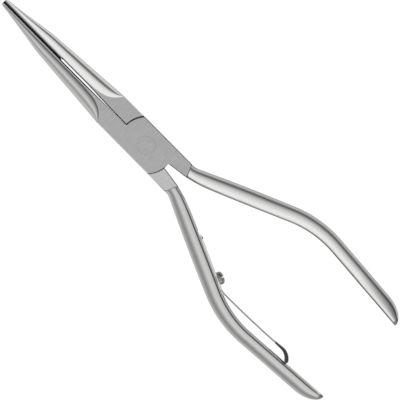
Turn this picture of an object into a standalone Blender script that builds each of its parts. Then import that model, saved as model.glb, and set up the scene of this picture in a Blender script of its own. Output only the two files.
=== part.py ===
"""Fish bone tweezers: two like halves crossing in a riveted lap joint, with a leaf spring on one handle.

Metres. The pivot axis is Z, the jaws point along +Y, and the ground rear face of the joint is at z = 0; the
crowns of the jaws stand a little proud of it. Each half is modelled about its own mid plane, with its jaw at
-X and its handle at +X. The rear half is the same forging turned over about the Y axis, and the spring's
pieces ride on it.
"""

import math

import bmesh
import bpy
import numpy as np
from mathutils import Matrix, Vector

# Lap joint
JOINT_WIDTH = 0.0152
JOINT_THICKNESS = 0.007
LAP_RADIUS = 0.0111
LAP_CLEARANCE = 0.0002
SHOULDER_CLEARANCE = 0.0005
CROTCH_X = 0.0011
CROTCH_FILLET = 0.0008
EDGE_BREAK = 0.0003

# Pivot rivet
RIVET_SHANK_RADIUS = 0.0024
RIVET_HEAD_RADIUS = 0.0036
RIVET_HEAD_DEPTH = 0.0012
RIVET_CLEARANCE = 0.00005

# Jaws
JAW_LENGTH = 0.0803
JAW_SHOULDER = 0.02
JAW_INSIDE_PLATE = 0.008
JAW_TIP_THICKNESS = 0.0032
FLAT_RUN_OUT = 0.0036
INNER_STRIP = 0.00105
CREASE_ANGLE = 26.0
CROWN_PLACE_SHARE = 0.47
FLAT_WIDEST_SHARE = 0.97
JAW_SQUARENESS = 2.3

# Gripping faces
TOOTHED_LENGTH = 0.032
TOOTH_PITCH = 0.0012
TOOTH_DEPTH = 0.0006
BITE_GAP = 0.00004
RELIEF_GAP = 0.0007
RELIEF_ROOT_GAP = 0.0002
RELIEF_NECK_GAP = 0.0004
RELIEF_NECK_END = 0.02
RELIEF_WIDE_START = 0.034
RELIEF_STEP = 0.0004
RELIEF_CHAMFER_WIDTH = 0.0003
GRIP_CHAMFER_WIDTH = 0.00055
GRIP_CHAMFER_DEPTH = 0.001

# Handles
HANDLE_START_Y = -0.0096
HANDLE_SPLAY = 23.6
HANDLE_SHOULDER = 0.0108
HANDLE_TO_BEND = 0.044
HANDLE_BEND_RADIUS = 0.046
HANDLE_BEND_TURN = 27.75
HANDLE_TO_END = 0.0389
HANDLE_WIDTH = 0.0066
HANDLE_ROOT_THICKNESS = 0.0062
HANDLE_END_THICKNESS = 0.0052
HANDLE_INSIDE_ROOT = 0.0015
HANDLE_END_ROUND = 0.0102
HANDLE_END_CUT = 0.0003
HANDLE_CROWN_SHIFT = 0.0002

# Leaf spring, along the handle from its shoulder
LEAF_THICKNESS = 0.0005
LEAF_WIDTH = 0.0046
LEAF_START = 0.021
LEAF_TO_BEND = 0.0232
LEAF_BEND_RADIUS = 0.006
LEAF_FREE_TURN = 4.0
LEAF_HOOK_RADIUS = 0.0056
LEAF_HOOK_TURN = 57.0
LEAF_REACH = 0.08467
SEAT_GAP = 0.0001
SEAT_DEPTH = 0.00025
SEAT_MARGIN = 0.002

# Spring screw and locating pin
SCREW_DISTANCE = 0.0399
SCREW_SHANK_RADIUS = 0.0012
SCREW_SHANK_LENGTH = 0.0042
SCREW_HEAD_RADIUS = 0.0026
SCREW_HEAD_HEIGHT = 0.0024
SCREW_HEAD_ROUND = 0.0011
SCREW_CROWN = 0.0003
SCREW_SLOT_WIDTH = 0.0006
SCREW_SLOT_DEPTH = 0.001
PIN_FROM_LEAF_END = 0.0014
PIN_RADIUS = 0.00055
PIN_LENGTH = 0.0026
PIN_STANDOUT = 0.0003
HOLE_CLEARANCE = 0.0001

# Sleeve on the free end
SLEEVE_LENGTH = 0.0088
SLEEVE_START_THICKNESS = 0.0009
SLEEVE_END_THICKNESS = 0.0016
SLEEVE_SIDE_WALL = 0.0005
SLEEVE_TIP_WALL = 0.0009
SLEEVE_CLEARANCE = 0.00006
SLEEVE_REST_GAP = 0.00007
SLEEVE_SHARES = ((0.0, 0.0), (0.3, 0.25), (0.6, 0.85), (1.0, 1.0))
SLEEVE_TIP_SHARES = ((0.35, 0.94), (0.7, 0.72), (0.93, 0.38), (1.0, 0.15))

# One overrun for all cuts
CUT_OVERRUN = 0.001

# Outline of a jaw's round side: share of the way from shoulder to tip, share of half the joint's width
JAW_OUTLINE_SHARES = (
    (0.0, 1.0),
    (0.166, 0.895),
    (0.33, 0.80),
    (0.50, 0.70),
    (0.62, 0.625),
    (0.73, 0.497),
    (0.83, 0.378),
    (0.93, 0.268),
    (0.975, 0.225),
    (0.993, 0.20),
    (1.0, 0.165),
)
JAW_STATION_SHARES = (
    0.0,
    0.008,
    0.018,
    0.032,
    0.05,
    0.072,
    0.10,
    0.14,
    0.19,
    0.26,
    0.34,
    0.42,
    0.50,
    0.56,
    0.62,
    0.67,
    0.73,
    0.80,
    0.87,
    0.93,
    0.975,
    0.993,
    1.0,
)

# Handle section: share of the handle's length, then outer and inner offsets as shares of half its width
HANDLE_SHARES = (
    (0.0, 1.083, 0.636),
    (0.014, 0.925, 0.697),
    (0.029, 0.888, 0.780),
    (0.057, 0.909, 0.885),
    (0.095, 0.936, 0.950),
    (0.17, 0.985, 0.985),
    (0.34, 1.0, 1.0),
    (0.42, 0.985, 0.985),
    (0.52, 0.955, 0.955),
    (0.63, 0.91, 0.91),
    (0.81, 0.905, 0.905),
    (1.0, 0.885, 0.885),
)
HANDLE_STATIONS = 30
END_STATION_SHARES = (0.2, 0.4, 0.57, 0.71, 0.82, 0.90, 0.95, 0.98, 1.0)
END_THINNING_SHARE = 0.35

HANDLE_SIDES = 24
HANDLE_SQUARENESS = 2.35
JAW_RISE_STEPS = 4
JAW_SIDE_SHARES = (0.3, 0.5, 0.66, 0.78, 0.87, 0.94, 0.98, 1.0)
TURNED_STEPS = 48
SMALL_TURNED_STEPS = 32
LAP_ARC_STEPS = 14
LEAF_STEPS = 60
LEAF_FIT_ROUNDS = 30
SCREW_ROUND_STEPS = 5
SLEEVE_SIDES = 16
SLEEVE_SQUARENESS = 3.0
SLEEVE_TURN_SHARE = 0.5
SLEEVE_STEPS = 14
SHARP_ANGLE = 12.0

HALF_WIDTH = JOINT_WIDTH / 2
HALF_THICKNESS = JOINT_THICKNESS / 2
HALF_HANDLE = HANDLE_WIDTH / 2
BEND_LENGTH = HANDLE_BEND_RADIUS * math.radians(HANDLE_BEND_TURN)
HANDLE_LENGTH = HANDLE_TO_BEND + BEND_LENGTH + HANDLE_TO_END

STEEL = ("forged_steel", (0.62, 0.62, 0.61, 1.0), 0.32, 1.0)
RIVET_STEEL = ("rivet_steel", (0.58, 0.58, 0.57, 1.0), 0.35, 1.0)
SPRING_STEEL = ("spring_steel", (0.70, 0.70, 0.69, 1.0), 0.22, 1.0)
SCREW_STEEL = ("screw_steel", (0.36, 0.36, 0.36, 1.0), 0.38, 1.0)
BLACK_PLASTIC = ("black_plastic", (0.02, 0.02, 0.02, 1.0), 0.45, 0.0)


# Scene set-up


def clear_scene():
    """Remove every object, so that the file holds only this tool."""
    for item in list(bpy.data.objects):
        bpy.data.objects.remove(item, do_unlink=True)


def new_collection(name):
    """Return a new collection linked to the scene."""
    group = bpy.data.collections.new(name)
    bpy.context.scene.collection.children.link(group)
    return group


def material(finish):
    """Return the Principled material of a finish, made once."""
    name, colour, roughness, metallic = finish
    found = bpy.data.materials.get(name)
    if found:
        return found
    made = bpy.data.materials.new(name)
    made.use_nodes = True
    shader = made.node_tree.nodes["Principled BSDF"]
    shader.inputs["Base Color"].default_value = colour
    shader.inputs["Roughness"].default_value = roughness
    shader.inputs["Metallic"].default_value = metallic
    made.diffuse_color = colour
    return made


def piece(name, mesh, finish):
    """Put a finished piece of the tool into the parts collection."""
    made = bpy.data.objects.new(name, mesh)
    PARTS.objects.link(made)
    mesh.materials.clear()
    mesh.materials.append(material(finish))
    return made


def cutter(name, mesh, carrier):
    """Put a cutting or joining body into the cutters collection, following the half that carries it."""
    made = bpy.data.objects.new(name, mesh)
    CUTTERS.objects.link(made)
    made.hide_render = True
    made.display_type = "WIRE"
    made.parent = carrier
    return made


def combine(target, tool, operation="DIFFERENCE"):
    """Cut a tool away from the target, or join it on."""
    step = target.modifiers.new(tool.name, "BOOLEAN")
    step.operation = operation
    step.solver = "EXACT"
    step.object = tool


def shade(mesh, angle):
    """Shade a mesh smooth but for the edges sharper than the angle in degrees."""
    mesh.shade_smooth()
    mesh.set_sharp_from_angle(angle=math.radians(angle))


# Shapes


def smooth_table(rows, at):
    """Read columns 1 and up of a table at a value of column 0, along a Catmull-Rom curve."""
    table = np.array(rows)
    x = table[:, 0]
    slopes = np.gradient(table[:, 1:], x, axis=0)
    k = int(np.clip(np.searchsorted(x, at) - 1, 0, len(x) - 2))
    step = x[k + 1] - x[k]
    t = np.clip((at - x[k]) / step, 0.0, 1.0)
    h00 = 2 * t**3 - 3 * t**2 + 1
    h10 = t**3 - 2 * t**2 + t
    h01 = 3 * t**2 - 2 * t**3
    h11 = t**3 - t**2
    low, high = table[k, 1:], table[k + 1, 1:]
    return h00 * low + h10 * step * slopes[k] + h01 * high + h11 * step * slopes[k + 1]


def loft_mesh(name, rings):
    """Skin rings of equally many points, in order, and close both ends."""
    bm = bmesh.new()
    rows = [[bm.verts.new(point) for point in ring] for ring in rings]
    for low, high in zip(rows, rows[1:]):
        for k in range(len(low)):
            after = (k + 1) % len(low)
            bm.faces.new((low[k], low[after], high[after], high[k]))
    bm.faces.new(reversed(rows[0]))
    bm.faces.new(rows[-1])
    bmesh.ops.recalc_face_normals(bm, faces=bm.faces)
    mesh = bpy.data.meshes.new(name)
    bm.to_mesh(mesh)
    bm.free()
    return mesh


def plate_mesh(name, outline, bottom, top):
    """Fill a flat outline and give it the thickness between two heights."""
    curve = bpy.data.curves.new(name, "CURVE")
    curve.dimensions = "2D"
    curve.fill_mode = "BOTH"
    curve.extrude = (top - bottom) / 2
    spline = curve.splines.new("POLY")
    spline.points.add(len(outline) - 1)
    for point, (x, y) in zip(spline.points, outline):
        point.co = (x, y, 0.0, 1.0)
    spline.use_cyclic_u = True
    drawn = bpy.data.objects.new(name, curve)
    bpy.context.scene.collection.objects.link(drawn)
    drawn.location.z = (top + bottom) / 2
    bpy.context.view_layer.update()
    ready = drawn.evaluated_get(bpy.context.evaluated_depsgraph_get())
    mesh = bpy.data.meshes.new_from_object(ready)
    mesh.transform(drawn.matrix_world)
    bpy.data.objects.remove(drawn, do_unlink=True)
    bm = bmesh.new()
    bm.from_mesh(mesh)
    bmesh.ops.remove_doubles(bm, verts=bm.verts, dist=BITE_GAP / 10)
    bmesh.ops.recalc_face_normals(bm, faces=bm.faces)
    bm.to_mesh(mesh)
    bm.free()
    return mesh


def turned_mesh(name, profile):
    """Wire of a profile of radius and height points, top to bottom, for a turned piece."""
    mesh = bpy.data.meshes.new(name)
    mesh.from_pydata([(r, 0.0, z) for r, z in profile], [(k, k + 1) for k in range(len(profile) - 1)], [])
    return mesh


def turn(made, steps):
    """Give an object's profile a full turn about its Z axis."""
    screw = made.modifiers.new("turn", "SCREW")
    screw.steps = steps
    screw.render_steps = steps
    screw.use_merge_vertices = True
    screw.merge_threshold = BITE_GAP / 10
    return made


def cylinder_mesh(name, radius, bottom, top, segments):
    """A closed cylinder on Z between two heights."""
    bm = bmesh.new()
    place = Matrix.Translation((0.0, 0.0, (bottom + top) / 2))
    size = {"radius1": radius, "radius2": radius, "depth": top - bottom}
    bmesh.ops.create_cone(bm, cap_ends=True, segments=segments, matrix=place, **size)
    mesh = bpy.data.meshes.new(name)
    bm.to_mesh(mesh)
    bm.free()
    return mesh


def box_mesh(name, size, bottom):
    """A closed box on Z that starts at a height."""
    bm = bmesh.new()
    bmesh.ops.create_cube(bm, size=1.0)
    bmesh.ops.scale(bm, vec=size, verts=bm.verts)
    bmesh.ops.translate(bm, vec=(0.0, 0.0, bottom + size[2] / 2), verts=bm.verts)
    mesh = bpy.data.meshes.new(name)
    bm.to_mesh(mesh)
    bm.free()
    return mesh


def arc(radius, start, end, steps):
    """Points of an arc about the pivot, angles in radians."""
    return [(radius * math.cos(a), radius * math.sin(a)) for a in np.linspace(start, end, steps + 1)]


def fillet(before, corner, after, radius, steps=4):
    """Points that round the corner between two straight runs."""
    corner = Vector(corner)
    back = (Vector(before) - corner).normalized()
    ahead = (Vector(after) - corner).normalized()
    opening = back.angle(ahead)
    centre = corner + (back + ahead).normalized() * radius / math.sin(opening / 2)
    first = corner + back * radius / math.tan(opening / 2) - centre
    last = corner + ahead * radius / math.tan(opening / 2) - centre
    points = []
    for angle in np.linspace(0.0, first.angle_signed(last), steps + 1):
        points.append(tuple(centre + Matrix.Rotation(-angle, 2) @ first))
    return points


class Route:
    """A flat line of straight runs and arcs, headed by an angle from -Y towards +X."""

    def __init__(self, start, heading, runs):
        self.start = start
        self.heading = heading
        self.runs = runs

    def at(self, distance):
        """Return the point, the direction and the outward normal at a distance along the line."""
        x, y = self.start
        angle = self.heading
        for length, turn in self.runs:
            part = min(distance, length)
            if turn:
                bend = turn / length
                ahead = angle + bend * part
                x += (math.cos(angle) - math.cos(ahead)) / bend
                y -= (math.sin(ahead) - math.sin(angle)) / bend
                angle = ahead
            else:
                x += part * math.sin(angle)
                y -= part * math.cos(angle)
            distance -= part
        direction = Vector((math.sin(angle), -math.cos(angle), 0.0))
        x += distance * direction.x
        y += distance * direction.y
        return Vector((x, y, 0.0)), direction, Vector((math.cos(angle), math.sin(angle), 0.0))


# Routes of the handle and of the leaf


SPLAY = math.radians(HANDLE_SPLAY)
HANDLE = Route(
    (HANDLE_SHOULDER * math.sin(SPLAY), HANDLE_START_Y - HANDLE_SHOULDER * math.cos(SPLAY)),
    SPLAY,
    (
        (HANDLE_TO_BEND, 0.0),
        (BEND_LENGTH, -math.radians(HANDLE_BEND_TURN)),
        (HANDLE_TO_END, 0.0),
    ),
)


def handle_offsets(distance):
    """Outer and inner offsets of the handle's sides from its route."""
    outer, inner = smooth_table(HANDLE_SHARES, distance / HANDLE_LENGTH)
    return HALF_HANDLE * outer, HALF_HANDLE * inner


def leaf_route(bend, free):
    """The leaf lies on the handle's seat, leaves it at a bend, runs free and hooks back to the handle."""
    point, _, outward = HANDLE.at(LEAF_START)
    start = point - outward * (SEAT_OFFSET + SEAT_GAP + LEAF_THICKNESS / 2)
    hook = math.radians(LEAF_HOOK_TURN)
    runs = (
        (LEAF_TO_BEND, 0.0),
        (LEAF_BEND_RADIUS * abs(bend), -bend),
        (free, -math.radians(LEAF_FREE_TURN)),
        (LEAF_HOOK_RADIUS * hook, hook),
    )
    return Route((start.x, start.y), SPLAY, runs), sum(length for length, _ in runs)


def fitted_leaf():
    """The leaf whose bend and free run bring the tip of its sleeve to rest beside the handle."""
    place, along, outward = HANDLE.at(LEAF_REACH)
    side = handle_offsets(LEAF_REACH)[1] + SLEEVE_REST_GAP
    bend, free = SPLAY, LEAF_REACH - LEAF_START - LEAF_TO_BEND
    for _ in range(LEAF_FIT_ROUNDS):
        route, length = leaf_route(bend, free)
        end, heading, _ = route.at(length)
        across = SLEEVE_TIP_WALL * heading.dot(outward)
        ahead = SLEEVE_END_THICKNESS / 2 * heading.dot(along)
        gap = place - outward * (side + math.hypot(across, ahead)) - end
        middle = SPLAY - bend - math.radians(LEAF_FREE_TURN) / 2
        free += gap.x * math.sin(middle) - gap.y * math.cos(middle)
        bend -= (gap.x * math.cos(middle) + gap.y * math.sin(middle)) / free
    return leaf_route(bend, free)


SEAT_OFFSET = handle_offsets(SCREW_DISTANCE)[1] - SEAT_DEPTH
LEAF, LEAF_LENGTH = fitted_leaf()


# Halves


def grip_face(y):
    """How far the gripping side stands from the middle at y: relief behind, room for the teeth in front."""
    toothed = JAW_LENGTH - TOOTHED_LENGTH
    marks = (LAP_RADIUS, RELIEF_NECK_END, RELIEF_WIDE_START, toothed - RELIEF_STEP, toothed)
    gaps = (RELIEF_ROOT_GAP, RELIEF_NECK_GAP, RELIEF_GAP, RELIEF_GAP, -TOOTH_DEPTH - 2 * BITE_GAP)
    return -float(np.interp(y, marks, gaps)) / 2


def grip_chamfer(y):
    """Width of the chamfer along the gripping side at y, wider beside the teeth."""
    toothed = JAW_LENGTH - TOOTHED_LENGTH
    marks = (0.0, JAW_SHOULDER, toothed - RELIEF_STEP, toothed)
    widths = (0.0, RELIEF_CHAMFER_WIDTH, RELIEF_CHAMFER_WIDTH, GRIP_CHAMFER_WIDTH)
    return float(np.interp(y, marks, widths))


def jaw_ring(y):
    """Section of the jaw at y: ground inner strip, crown that stands proud of it, and steep round side."""
    share = max(0.0, (y - JAW_SHOULDER) / (JAW_LENGTH - JAW_SHOULDER))
    out = HALF_WIDTH * float(smooth_table(JAW_OUTLINE_SHARES, share)[0])
    past = max(0.0, y - JAW_SHOULDER)
    flat = INNER_STRIP + (FLAT_WIDEST_SHARE * HALF_WIDTH - INNER_STRIP) * math.exp(-past / FLAT_RUN_OUT)
    flat = min(flat, FLAT_WIDEST_SHARE * out)
    tall = HALF_THICKNESS + (JAW_TIP_THICKNESS / 2 - HALF_THICKNESS) * share
    face = grip_face(y)
    crown = flat + (out - flat) * CROWN_PLACE_SHARE
    crease = math.radians(CREASE_ANGLE)
    radius = (crown - flat) / math.sin(crease)
    top = tall + radius * (1.0 - math.cos(crease))
    side = []
    for angle in np.linspace(crease, 0.0, JAW_RISE_STEPS + 1):
        side.append((radius * math.sin(angle) - crown, top - radius * (1.0 - math.cos(angle))))
    for reach in JAW_SIDE_SHARES:
        drop = (1.0 - reach**JAW_SQUARENESS) ** (1.0 / JAW_SQUARENESS)
        side.append((-crown - (out - crown) * reach, top * drop))
    edge = min(face, 0.0) - grip_chamfer(y)
    deep = GRIP_CHAMFER_DEPTH * tall / HALF_THICKNESS
    upper = [(face, tall - deep), (edge, tall)] + side
    lower = [(x, -z) for x, z in reversed(upper[:-1])]
    return [(x, y, z) for x, z in upper + lower]


def jaw_mesh(name):
    """The jaw with its root, which runs back into the plate."""
    toothed = JAW_LENGTH - TOOTHED_LENGTH
    reach = JAW_LENGTH - JAW_SHOULDER
    stations = {JAW_SHOULDER + share * reach for share in JAW_STATION_SHARES}
    stations |= {JAW_INSIDE_PLATE, LAP_RADIUS, RELIEF_NECK_END, RELIEF_WIDE_START}
    stations |= {toothed - RELIEF_STEP, toothed}
    return loft_mesh(name, [jaw_ring(y) for y in sorted(stations)])


def plate_outline():
    """Front outline of the joint's plate and of the handle's root."""
    side_y = math.sqrt(LAP_RADIUS**2 - HALF_WIDTH**2)
    side_angle = math.asin(side_y / LAP_RADIUS)
    root, _, outward = HANDLE.at(0.0)
    inner = root - outward * handle_offsets(0.0)[1]
    outer = root + outward * (HALF_WIDTH - root.x) / outward.x
    crotch_y = -math.sqrt(LAP_RADIUS**2 - CROTCH_X**2)
    crotch_angle = math.atan2(crotch_y, CROTCH_X)
    lower = arc(LAP_RADIUS, side_angle - math.pi, crotch_angle, LAP_ARC_STEPS)
    corner = fillet(lower[-2], lower[-1], (inner.x, inner.y), CROTCH_FILLET)
    top_angle = math.acos(-RELIEF_ROOT_GAP / 2 / LAP_RADIUS)
    upper = arc(LAP_RADIUS, side_angle, top_angle, LAP_ARC_STEPS)
    outline = [(-HALF_WIDTH, LAP_RADIUS)] + lower[:-1] + corner
    outline += [(inner.x, inner.y), (outer.x, outer.y)] + upper
    return outline


def handle_thickness(distance):
    """The handle's thickness, which tapers along its route."""
    return np.interp(distance, (0.0, HANDLE_LENGTH), (HANDLE_ROOT_THICKNESS, HANDLE_END_THICKNESS))


def handle_ring(distance, outer, inner, tall):
    """Rounded section of the handle, with its crown a little towards the inner side."""
    point, _, outward = HANDLE.at(distance)
    ring = []
    for k in range(HANDLE_SIDES):
        angle = 2 * math.pi * k / HANDLE_SIDES
        across = math.copysign(abs(math.cos(angle)) ** (2 / HANDLE_SQUARENESS), math.cos(angle))
        up = math.copysign(abs(math.sin(angle)) ** (2 / HANDLE_SQUARENESS), math.sin(angle))
        middle = (outer - inner) / 2 - HANDLE_CROWN_SHIFT * up**2
        place = point + outward * (middle + (outer + inner) / 2 * across)
        ring.append((place.x, place.y, tall * up))
    return ring


def handle_mesh(name):
    """The bent handle, whose outer side rounds in to a small cut end."""
    round_from = HANDLE_LENGTH - HANDLE_END_ROUND
    rings = []
    for distance in np.linspace(-HANDLE_INSIDE_ROOT, round_from, HANDLE_STATIONS):
        outer, inner = handle_offsets(max(distance, 0.0))
        tall = handle_thickness(distance) / 2
        inside = min(1.0, 1.0 + distance / HANDLE_WIDTH)
        rings.append(handle_ring(distance, outer * inside, inner * inside, tall))
    for share in END_STATION_SHARES:
        past = share * (HANDLE_END_ROUND - HANDLE_END_CUT)
        outer, inner = handle_offsets(round_from + past)
        drop = math.sqrt(1.0 - (past / HANDLE_END_ROUND) ** 2)
        tall = handle_thickness(round_from + past) / 2
        thin = 1.0 - END_THINNING_SHARE * (1.0 - drop)
        rings.append(handle_ring(round_from + past, (outer + inner) * drop - inner, inner, tall * thin))
    return loft_mesh(name, rings)


def rack_outline(phase):
    """Outline that cuts the teeth: a zigzag along the jaw, shifted by a share of the pitch."""
    start = JAW_LENGTH - TOOTHED_LENGTH
    end = JAW_LENGTH + CUT_OVERRUN
    crest = (TOOTH_DEPTH - BITE_GAP) / 2
    root = crest - TOOTH_DEPTH
    points = [(root, start - RELIEF_STEP), (root, start + TOOTH_PITCH * phase)]
    for k in range(2 * int((end - start) / TOOTH_PITCH) + 1):
        points.append((root if k % 2 else crest, start + TOOTH_PITCH * ((k + 1) / 2 + phase)))
    far = crest + CUT_OVERRUN
    return points + [(far, points[-1][1]), (far, start - RELIEF_STEP)]


def edge_bars(name):
    """Four square bars that break the joint's long edges."""
    length = JAW_SHOULDER + HALF_WIDTH + LAP_RADIUS
    side = EDGE_BREAK * math.sqrt(2)
    bm = bmesh.new()
    for x in (-HALF_WIDTH, HALF_WIDTH):
        for z in (-HALF_THICKNESS, HALF_THICKNESS):
            made = bmesh.ops.create_cube(bm, size=1.0)["verts"]
            bmesh.ops.scale(bm, vec=(side, length, side), verts=made)
            turn = Matrix.Rotation(math.pi / 4, 3, "Y")
            bmesh.ops.rotate(bm, matrix=turn, verts=made)
            bmesh.ops.translate(bm, vec=(x, JAW_SHOULDER - length / 2, z), verts=made)
    mesh = bpy.data.meshes.new(name)
    bm.to_mesh(mesh)
    bm.free()
    return mesh


def rivet_profile(clearance, overrun):
    """Countersunk rivet, both ends peened flush, or the hole for it."""
    shank = RIVET_SHANK_RADIUS + clearance
    head = RIVET_HEAD_RADIUS + clearance
    neck = HALF_THICKNESS - RIVET_HEAD_DEPTH
    profile = [(0.0, HALF_THICKNESS), (head, HALF_THICKNESS), (shank, neck), (shank, -neck)]
    profile += [(head, -HALF_THICKNESS), (0.0, -HALF_THICKNESS)]
    if overrun:
        tall = HALF_THICKNESS + overrun
        profile = [(0.0, tall), (head, tall)] + profile[1:-1] + [(head, -tall), (0.0, -tall)]
    return profile


def half(name, phase):
    """One forged half about its mid plane: jaw, lap plate and handle, with all that is cut from it."""
    made = piece(name, plate_mesh(name, plate_outline(), -HALF_THICKNESS, HALF_THICKNESS), STEEL)
    for tool in (jaw_mesh(name + "_jaw"), handle_mesh(name + "_handle")):
        combine(made, cutter(tool.name, tool, made), "UNION")

    tall = HALF_THICKNESS + CUT_OVERRUN
    recess_radius = LAP_RADIUS + SHOULDER_CLEARANCE
    recess = cylinder_mesh(name + "_lap_recess", recess_radius, -tall, LAP_CLEARANCE / 2, 2 * TURNED_STEPS)
    combine(made, cutter(recess.name, recess, made))

    hole = turned_mesh(name + "_rivet_hole", rivet_profile(RIVET_CLEARANCE, CUT_OVERRUN))
    combine(made, turn(cutter(hole.name, hole, made), TURNED_STEPS))

    rack = plate_mesh(name + "_tooth_rack", rack_outline(phase), -tall, tall)
    bars = edge_bars(name + "_edge_bars")
    for tool in (rack, bars):
        combine(made, cutter(tool.name, tool, made))
    return made


def pivot_rivet():
    """Rivet through both plates, flush with the joint's front and rear faces."""
    made = piece("pivot_rivet", turned_mesh("pivot_rivet", rivet_profile(0.0, 0.0)), RIVET_STEEL)
    turn(made, TURNED_STEPS)
    made.location.z = HALF_THICKNESS
    return made


# Spring and its fastenings


def on_handle(distance, lift=0.0):
    """Placement on the spring's seat, with local Z pointing away from the handle and local X across it."""
    point, direction, outward = HANDLE.at(distance)
    place = point - outward * (SEAT_OFFSET + lift)
    axes = Matrix((Vector((0.0, 0.0, 1.0)), -direction, -outward)).transposed()
    return Matrix.Translation(place) @ axes.to_4x4()


def mill_spring_seat(carrier):
    """Mill the flat that the leaf lies on, on the handle's inner side."""
    length = LEAF_TO_BEND + 2 * SEAT_MARGIN
    size = (HANDLE_ROOT_THICKNESS + CUT_OVERRUN, length, SEAT_DEPTH + CUT_OVERRUN)
    block = cutter("spring_seat", box_mesh("spring_seat", size, 0.0), carrier)
    block.matrix_local = on_handle(LEAF_START + LEAF_TO_BEND / 2)
    combine(carrier, block)


def drill(name, carrier, leaf, distance, radius, depth):
    """Drill one hole through the leaf and on into the handle."""
    bottom = -depth - HOLE_CLEARANCE
    mesh = cylinder_mesh(name, radius + HOLE_CLEARANCE, bottom, CUT_OVERRUN, SMALL_TURNED_STEPS)
    hole = cutter(name, mesh, carrier)
    hole.matrix_local = on_handle(distance)
    for target in (carrier, leaf):
        combine(target, hole)


def leaf_strip(name, start, end, width, thicknesses, steps):
    """A strip along the leaf's route, from one thickness to another."""
    rings = []
    for distance in np.linspace(start, end, steps + 1):
        point, _, outward = LEAF.at(distance)
        thickness = np.interp(distance, (start, end), thicknesses)
        ring = []
        for across, up in ((1, 1), (1, -1), (-1, -1), (-1, 1)):
            place = point + outward * (across * thickness / 2)
            ring.append((place.x, place.y, up * width / 2))
        rings.append(ring)
    return loft_mesh(name, rings)


def leaf_spring(carrier):
    """The leaf: along the seat, off it at a bend, straight, and hooked back to the handle."""
    ends = (LEAF_THICKNESS, LEAF_THICKNESS)
    strip = leaf_strip("leaf_spring", 0.0, LEAF_LENGTH, LEAF_WIDTH, ends, LEAF_STEPS)
    made = piece(strip.name, strip, SPRING_STEEL)
    made.parent = carrier
    return made


def screw_profile():
    """Round head over its shank, from the top down."""
    rise = SCREW_HEAD_HEIGHT - SCREW_CROWN
    inner = SCREW_HEAD_RADIUS - SCREW_HEAD_ROUND
    profile = [(0.0, SCREW_HEAD_HEIGHT)]
    for angle in np.linspace(0.0, math.pi / 2, SCREW_ROUND_STEPS + 1):
        low = rise - SCREW_HEAD_ROUND + SCREW_HEAD_ROUND * math.cos(angle)
        profile.append((inner + SCREW_HEAD_ROUND * math.sin(angle), low))
    profile += [(SCREW_HEAD_RADIUS, 0.0), (SCREW_SHANK_RADIUS, 0.0)]
    profile += [(SCREW_SHANK_RADIUS, -SCREW_SHANK_LENGTH), (0.0, -SCREW_SHANK_LENGTH)]
    return profile


def spring_screw(carrier, leaf):
    """Slotted round-head screw through the leaf into the handle, its slot along the pivot's direction."""
    made = piece("spring_screw", turned_mesh("spring_screw", screw_profile()), SCREW_STEEL)
    turn(made, SMALL_TURNED_STEPS)
    made.parent = carrier
    made.matrix_local = on_handle(SCREW_DISTANCE, 2 * SEAT_GAP + LEAF_THICKNESS)
    size = (2 * SCREW_HEAD_RADIUS + CUT_OVERRUN, SCREW_SLOT_WIDTH, SCREW_SLOT_DEPTH + CUT_OVERRUN)
    slot = box_mesh("screw_slot", size, SCREW_HEAD_HEIGHT - SCREW_SLOT_DEPTH)
    slot = cutter(slot.name, slot, carrier)
    slot.matrix_local = made.matrix_local
    combine(made, slot)
    drill("screw_hole", carrier, leaf, SCREW_DISTANCE, SCREW_SHANK_RADIUS, SCREW_SHANK_LENGTH)
    return made


def locating_pin(carrier, leaf):
    """Pin that keeps the leaf from turning about its screw."""
    distance = LEAF_START + PIN_FROM_LEAF_END
    top = SEAT_GAP + LEAF_THICKNESS + PIN_STANDOUT
    mesh = cylinder_mesh("locating_pin", PIN_RADIUS, top - PIN_LENGTH, top, SMALL_TURNED_STEPS)
    made = piece("locating_pin", mesh, SCREW_STEEL)
    made.parent = carrier
    made.matrix_local = on_handle(distance)
    drill("pin_hole", carrier, leaf, distance, PIN_RADIUS, PIN_LENGTH - top)
    return made


def sleeve_ring(distance, thickness, width):
    """Rounded section of the sleeve across the leaf's route."""
    point, _, outward = LEAF.at(distance)
    ring = []
    for k in range(SLEEVE_SIDES):
        angle = 2 * math.pi * (k + SLEEVE_TURN_SHARE) / SLEEVE_SIDES
        across = math.copysign(abs(math.cos(angle)) ** (2 / SLEEVE_SQUARENESS), math.cos(angle))
        up = math.copysign(abs(math.sin(angle)) ** (2 / SLEEVE_SQUARENESS), math.sin(angle))
        place = point + outward * (across * thickness / 2)
        ring.append((place.x, place.y, up * width / 2))
    return ring


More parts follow.
